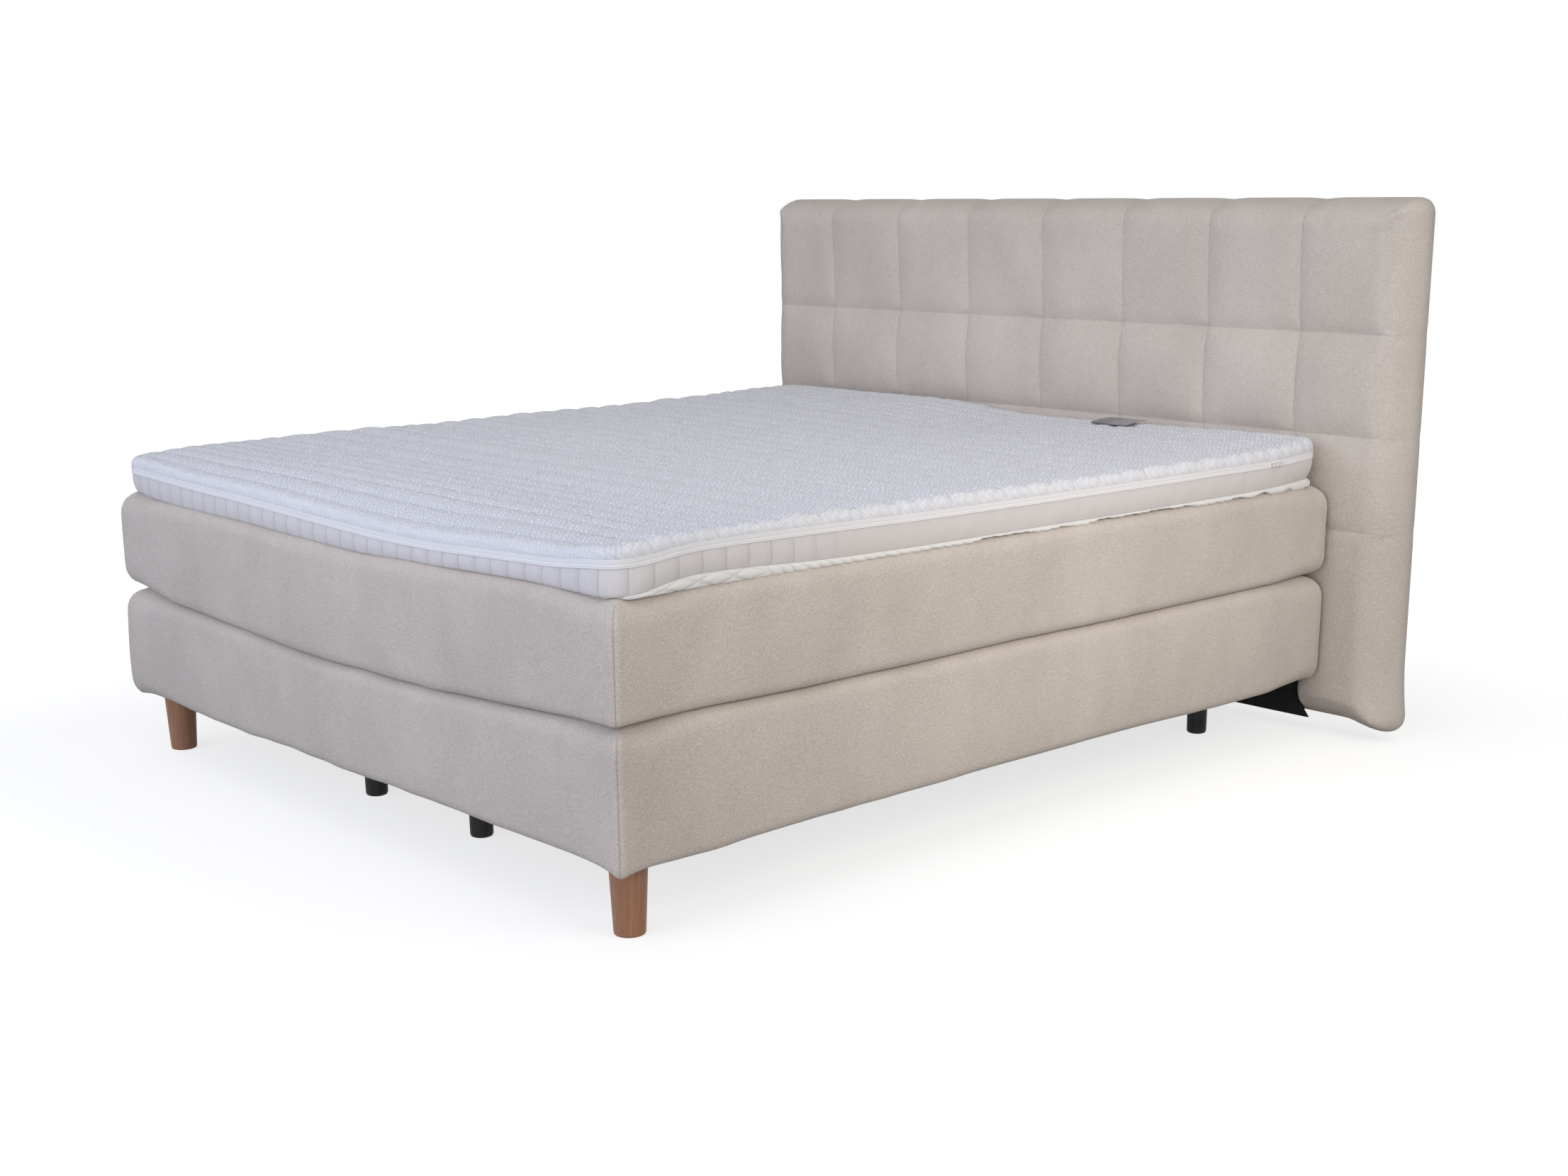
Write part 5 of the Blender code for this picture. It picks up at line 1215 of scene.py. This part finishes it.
def make_label(material):
    """A small satin care label that lies on the quilt near the head edge, its front folded under."""
    low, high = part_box("topper_label")
    width = high.x - low.x
    skin = bpy.data.objects["topper_quilt"].data
    surface = BVHTree.FromPolygons([v.co for v in skin.vertices], [p.vertices for p in skin.polygons])
    back, front = high.y - 0.018, low.y - 0.020
    along = (
        (0.0, 0.04, 0.40, 0.74, 0.80, 0.85, 0.90, 1.0),
        (0.0, 0.06, 0.50, 0.97, 1.0, 0.99, 0.93, 0.72),
        (0.0070, 0.0067, 0.0045, 0.0028, 0.0025, 0.0014, 0.0006, 0.0006),
    )
    t = np.linspace(0, 1, 46)
    forward = np.interp(t, along[0], along[1])
    rise = np.interp(t, along[0], along[2])
    across = np.linspace(0, 1, 15)
    xx, tt = np.meshgrid(across, t, indexing="ij")
    px = low.x + 0.022 + width * xx - 0.010 * tt * (1 - xx)
    py = back + (front - back) * np.broadcast_to(forward, xx.shape) - 0.012 * (xx - 0.5) * tt
    free = smooth_step(tt / 0.5) * smooth_step((0.84 - tt) / 0.06)
    curl = (0.0005 * np.sin(2.0 * np.pi * xx + 0.6) + 0.0004) * free
    top = [surface.ray_cast((a, b, 1.0), (0, 0, -1))[0] for a, b in zip(px.ravel(), py.ravel())]
    ground = np.array([high.z if hit is None else hit.z for hit in top]).reshape(xx.shape)
    line = ground.max(axis=0)
    line = np.array([line[max(i - 7, 0) : i + 8].max() for i in range(len(line))])
    line = np.convolve(np.pad(line, 5, mode="edge"), np.ones(11) / 11, "valid")
    pz = np.where(tt > 0.80, np.maximum(ground, line - 0.0015), line) + rise + curl
    layers = [np.stack([px, py, pz + drop], -1).reshape(-1, 3) for drop in (0.0, -LABEL_THICKNESS)]
    points = np.concatenate(layers)
    rows, columns = xx.shape
    grid = np.arange(rows * columns).reshape(rows, columns)
    upper = quads(grid, True)
    rim = np.concatenate([grid[0, :], grid[1:, -1], grid[-1, -2::-1], grid[-2:0:-1, 0]])
    after = np.roll(rim, -1)
    size = rows * columns
    sides = np.stack([rim, rim + size, after + size, after], -1)
    faces = np.concatenate([upper, upper[:, ::-1] + size, sides])
    # Painted shadow on the folded front; the left part is darker too
    shade = np.maximum(0.9 * smooth_step((tt - 0.76) / 0.05), 0.55 * smooth_step((0.46 - xx) / 0.04))
    shade = np.tile(shade.ravel(), 2)
    piece = mesh_piece("care_label", points, faces, material, "topper", {"seam": shade})
    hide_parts("topper_label")


# Headboard


def lower_half(z):
    """Half the width of the plain cloth that covers the headboard low down."""
    heights = (BOARD_LOW, 0.050, 0.080, 0.110, 0.5)
    return np.interp(z, heights, (0.858, 0.846, 0.834, CLOTH_LINE, CLOTH_LINE))


def nearest_row(z):
    """The height of the row seam that is nearest to each point."""
    rows = np.array(BOARD_ROWS)
    return rows[np.argmin(abs(z[:, None] - rows), axis=1)]


def board_height(x, z):
    """How far the tufted front stands proud of its deepest seams, and how near a point is to a seam."""
    rows = np.array([BOARD_LOW - 0.30, *BOARD_ROWS, BOARD_TOP + 0.34])
    which = np.clip(np.searchsorted(rows, z, "right") - 1, 0, len(rows) - 2)
    v = (z - rows[which]) / (rows[which + 1] - rows[which])
    f = np.sin(np.pi * unit(v)) ** 0.70
    u = (x / BOARD_COLUMN) % 1.0
    tufted = smooth_step((z - 0.690) / 0.02)
    g = np.sin(np.pi * u) ** 0.60
    outer = abs(x) > 3.5 * BOARD_COLUMN + 1e-6
    g = np.where(outer & (abs(x) > BOARD_HALF_WIDTH - 0.5 * BOARD_COLUMN), 1.0, g)
    depth = (1 - v) * ROW_DEPTHS[which] + v * ROW_DEPTHS[which + 1]
    h = BOARD_FULLNESS - depth * (1 - f) - COLUMN_DEPTH * tufted * (1 - g) * f
    row = nearest_row(z)
    to_row = abs(z - row)
    to_column = np.minimum(u, 1 - u) * BOARD_COLUMN
    inner = abs(x) < BOARD_HALF_WIDTH - 0.5 * BOARD_COLUMN
    seam = 0.55 * bell(to_row, ROW_SEAM_WIDTH)
    upright = 0.75 * bell(to_column, COLUMN_SEAM_WIDTH) * tufted * inner
    h = h - 0.0010 * bell(to_row, 0.003) - 0.0012 * bell(to_column, 0.003) * tufted * inner
    # Small puckers round the places where seams cross
    line = np.round(x / BOARD_COLUMN) * BOARD_COLUMN
    dx, dz = x - line, z - row
    reach = np.hypot(dx, dz)
    crossing = inner & (row > 0.6)
    pucker = PUCKER * np.cos(7 * np.arctan2(dz, dx)) * np.exp(-reach / 0.030) * unit(reach / 0.01)
    h = h + np.where(crossing, pucker, 0)
    outward = smooth_step((abs(x) - 0.90) / 0.12)
    h = h * (1 - 0.80 * outward) + 0.80 * outward * 0.0235
    return h, unit(seam + upright)


def make_headboard(material):
    half = [0.009, 0.024, 0.05, 0.10, 0.17, 0.26, 0.37]
    shares = np.array([0, *half, 0.5, *[1 - share for share in half[::-1]]])
    ends = np.array([0, 0.004, 0.009, 0.015, 0.021, 0.028, 0.036, 0.045, 0.056, 0.070])
    lines = np.arange(-3, 4) * BOARD_COLUMN
    xs = [ends - BOARD_HALF_WIDTH, BOARD_HALF_WIDTH - ends]
    for line in np.arange(-4, 4) * BOARD_COLUMN:
        xs.append(line + shares * BOARD_COLUMN)
    xs.append(lines)
    xs = np.concatenate(xs)
    xs = xs[abs(abs(xs) - CLOTH_LINE) > 0.014]
    follow = CLOTH_LINE + np.array([-0.010, -0.006, -0.003, 0, 0.003, 0.006, 0.010])
    xs = np.unique(np.round(np.concatenate([xs, follow, -follow]), 4))
    xs = thinned(xs, 0.0012)
    xs[0], xs[-1] = -BOARD_HALF_WIDTH, BOARD_HALF_WIDTH
    mid_z = (BOARD_LOW + BOARD_TOP) / 2
    half_z = (BOARD_TOP - BOARD_LOW) / 2
    zs = [BOARD_LOW + ends, BOARD_TOP - ends]
    marks = [BOARD_LOW + 0.05, *BOARD_ROWS, BOARD_TOP - 0.05]
    near_seam = np.array([0.0024, 0.006, 0.012, 0.021, 0.034])
    for start, end in zip(marks, marks[1:]):
        zs.append(np.linspace(start + 0.034, end - 0.034, max(int((end - start - 0.068) / 0.02), 2)))
        zs.append(start + near_seam)
        zs.append(end - near_seam)
    zs.append(BOARD_ROWS)
    zs = thinned(np.unique(np.round(np.concatenate(zs), 4)), 0.0012) - mid_z
    zs[0], zs[-1] = -half_z, half_z
    thick = BOARD_BACK - BOARD_SEAM_Y
    ds = np.array([0, 0.004, 0.010, 0.020, 0.032, 0.040, 0.048, 0.056, 0.064, 0.071, 0.077, thick])
    lattice, faces = box_lattice(xs, zs, ds)
    flat = rounded(lattice, BOARD_HALF_WIDTH, half_z, thick, 0.036, 0.007, 0.060)
    x, z, d = flat.T.copy()
    z = z + mid_z
    share = d / thick
    h, seam = board_height(np.clip(lattice[:, 0], -1.03, 1.03), lattice[:, 1] + mid_z)
    inset = np.minimum(BOARD_HALF_WIDTH - abs(lattice[:, 0]), half_z - abs(lattice[:, 1]))
    front = smooth_step((share - 0.45) / 0.5)
    fade = smooth_step((inset + 0.012) / 0.040)
    y = BOARD_BACK - d - h * front * (0.70 + 0.30 * fade)

    # The hidden middle below lies flat behind the plain black cloth
    slide = lower_half(z) - CLOTH_LINE
    x = x + np.sign(x) * slide * unit(1 - abs(abs(x) - CLOTH_LINE) / 0.12)
    past = abs(lattice[:, 0]) - CLOTH_LINE
    behind = smooth_step((0.003 - past) / 0.007) * smooth_step((0.330 - z) / 0.012) * front
    y = y * (1 - behind) + np.maximum(y, 0.9800) * behind

    # The rolled side stands proud, more so on the right, and its back edge rolls over the cloth behind
    roll = smooth_step((abs(lattice[:, 0]) - (BOARD_HALF_WIDTH - 0.10)) / 0.10)
    swell = np.sin(np.pi * unit(share * 0.86 + 0.12)) ** 0.7
    x = x + np.where(x > 0, SIDE_ROLL_RIGHT, SIDE_ROLL_LEFT) * roll * swell
    rim = smooth_step((0.016 - inset) / 0.012) * smooth_step((0.30 - share) / 0.30)
    y = y + 0.0055 * rim

    # Seams draw the sides and the top in, and the lower corners flare out
    row_seam = bell(z - nearest_row(z), 0.016)
    outer = smooth_step((abs(x) - (BOARD_HALF_WIDTH - 0.12)) / 0.12)
    x = x - np.sign(x) * 0.0010 * row_seam * outer
    to_column = abs(x - np.round(x / BOARD_COLUMN) * BOARD_COLUMN)
    dip = bell(to_column, 0.030) * (abs(x) < BOARD_HALF_WIDTH - 0.12)
    upper = smooth_step((z - (BOARD_TOP - 0.10)) / 0.10)
    z = z + upper * (0.0015 - 0.0060 * dip * (0.4 + 0.6 * share))
    down = unit(1 - (z - BOARD_LOW) / 0.16)
    x = x + np.sign(x) * CORNER_FLARE * down**2 * smooth_step((abs(x) - 0.86) / 0.17)
    lower = smooth_step((0.10 - (z - BOARD_LOW)) / 0.10)
    z = z - (0.010 + 0.010 * share) * lower * smooth_step((abs(x) - 0.93) / 0.10)
    points = np.column_stack([x, y, z])
    wave = 0.0011 * ripple(points, 0.30, 61) + 0.0006 * ripple(points, 0.11, 62)
    wave = wave * (0.45 + 0.55 * smooth_step((z - 0.45) / 0.2))
    points[:, 1] -= wave * front * fade * (1 - behind)
    on_side = (share < 0.999) & (inset < 0.002)
    seam = seam * smooth_step((share - 0.25) / 0.2) * np.where(on_side, 0.75, 1.0) * (1 - behind)
    pins = unit(np.maximum(np.maximum(1 - front, 1.3 * seam), behind))
    points = settled("headboard_upholstery", points, faces, pins, *BOARD_CLOTH)
    # The seam field carries painted shade along the tufting seams
    fields = {"seam": seam * 0.6}
    piece = mesh_piece("headboard_upholstery", points, faces, material, "bed", fields)
    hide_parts("headboard_cover", "headboard_foam")


def upright_cloth(name, material, outline_x, low, top, front, thickness, node):
    """A closed thin cloth that stands upright, whose half width changes with height."""
    us = np.linspace(-1, 1, 61)
    vs = np.concatenate([[0, 0.006, 0.02], np.linspace(0.05, 1, 24)])
    lattice, faces = box_lattice(us, vs, np.array([0, 1.0]))
    z = low + (top - low) * lattice[:, 1]
    x = lattice[:, 0] * outline_x(z)
    y = front + thickness * (1 - lattice[:, 2])
    points = np.column_stack([x, y, z])
    points[:, 1] -= abs(0.0004 * ripple(points, 0.25, 71))
    piece = mesh_piece(name, points, faces, material, "bed")
    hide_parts(node)


# The build

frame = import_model()
make_camera()
make_stage()
make_world()
for lamp in LAMPS:
    area_lamp(*lamp)

velvet = velvet_material("velvet", linear(214, 206, 199), linear(184, 175, 168))
knit = knit_material("knit", (92, 0, 0), (0, 80, 80), linear(229, 230, 236), linear(200, 201, 209))
# The last colour is the painted shade in the under quilt's creases and seams
under_knit = woven_material(
    "under_knit", linear(232, 231, 230), linear(220, 219, 218), 0.0015, 0.85, 0.1, 0.2, linear(176, 173, 172)
)
spacer = spacer_material("spacer_mesh")
tape = woven_material("zip_tape", linear(234, 234, 237), linear(227, 227, 231), 0.0012, 0.7, 0.0, 0.06)
piping = woven_material("piping", linear(234, 234, 237), linear(227, 227, 231), 0.0016, 0.7, 0.0, 0.1)
# The last colour is the label's painted shadow on its folded front, and its darker left part
satin = woven_material(
    "satin", linear(152, 149, 154), linear(132, 129, 134), 0.0008, 0.42, 0.1, 0.15, linear(98, 93, 97)
)
black_cloth = woven_material("black_cloth", linear(20, 19, 20), linear(9, 9, 10), 0.0026, 0.9)
grey_cloth = woven_material("base_cloth", linear(92, 92, 96), linear(66, 66, 70), 0.0026, 0.9)
beech = wood_material("beech", linear(164, 120, 92), linear(132, 92, 68), linear(92, 58, 40))
spruce = wood_material(
    "spruce", linear(222, 190, 142), linear(200, 160, 110), linear(170, 124, 78), "Y", 0.6
)
hardboard = wood_material(
    "hardboard", linear(150, 112, 78), linear(120, 86, 58), linear(96, 66, 44), "X", 0.6
)
plastic = moulded_material("black_plastic", linear(5, 5, 6), linear(10, 10, 11), 0.5)
steel = metal_material("steel", linear(176, 178, 182), linear(140, 142, 146), 0.36)
nickel = metal_material("nickel", linear(222, 220, 214), linear(176, 174, 168), 0.24)

HARD_FINISHES = (
    ("wooden_leg_stud", steel, "steel"),
    ("wooden_leg", beech, "beech"),
    ("support_leg", plastic, "black_plastic"),
    ("headboard_bracket", steel, "steel"),
    ("bracket_", steel, "steel"),
    ("headboard_panel", hardboard, "hardboard"),
    ("headboard_", spruce, "spruce"),
    ("base_", spruce, "spruce"),
    ("zip_", nickel, "zip_metal"),
)

make_base(velvet)
make_mattress(velvet)
make_topper_quilt(knit)
make_zip(tape, piping)
make_mesh_border(spacer)
make_under_quilt(under_knit)
make_label(satin)
make_headboard(velvet)

under = flat_cloth("base_under_cloth", black_cloth, "bed", 0.874, 0.984, 0.1384, 0.1397, corner=0.060)
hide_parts("base_dust_cloth")
panel = flat_cloth(
    "mattress_under_cloth", grey_cloth, "mattress", 0.7790, 0.8890, 0.3853, 0.3864,
    lift=lambda x, y: -seam_sag(x, y),
)
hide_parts("mattress_bottom_panel")
upright_cloth(
    "headboard_plain_cloth", black_cloth, lower_half, low=BOARD_LOW, top=0.326, front=0.9730,
    thickness=0.0060, node="headboard_lower_cloth",
)
upright_cloth(
    "headboard_rear_cloth", black_cloth, lambda z: np.full_like(z, 1.023), low=0.048, top=1.212,
    front=1.0715, thickness=0.0015, node="headboard_back_cloth",
)

for name, node in frame["nodes"].items():
    if node.hide_render:
        continue
    for start, material, slot in HARD_FINISHES:
        if name.startswith(start):
            node.data.materials.clear()
            node.data.materials.append(material)
            break

bpy.context.view_layer.update()
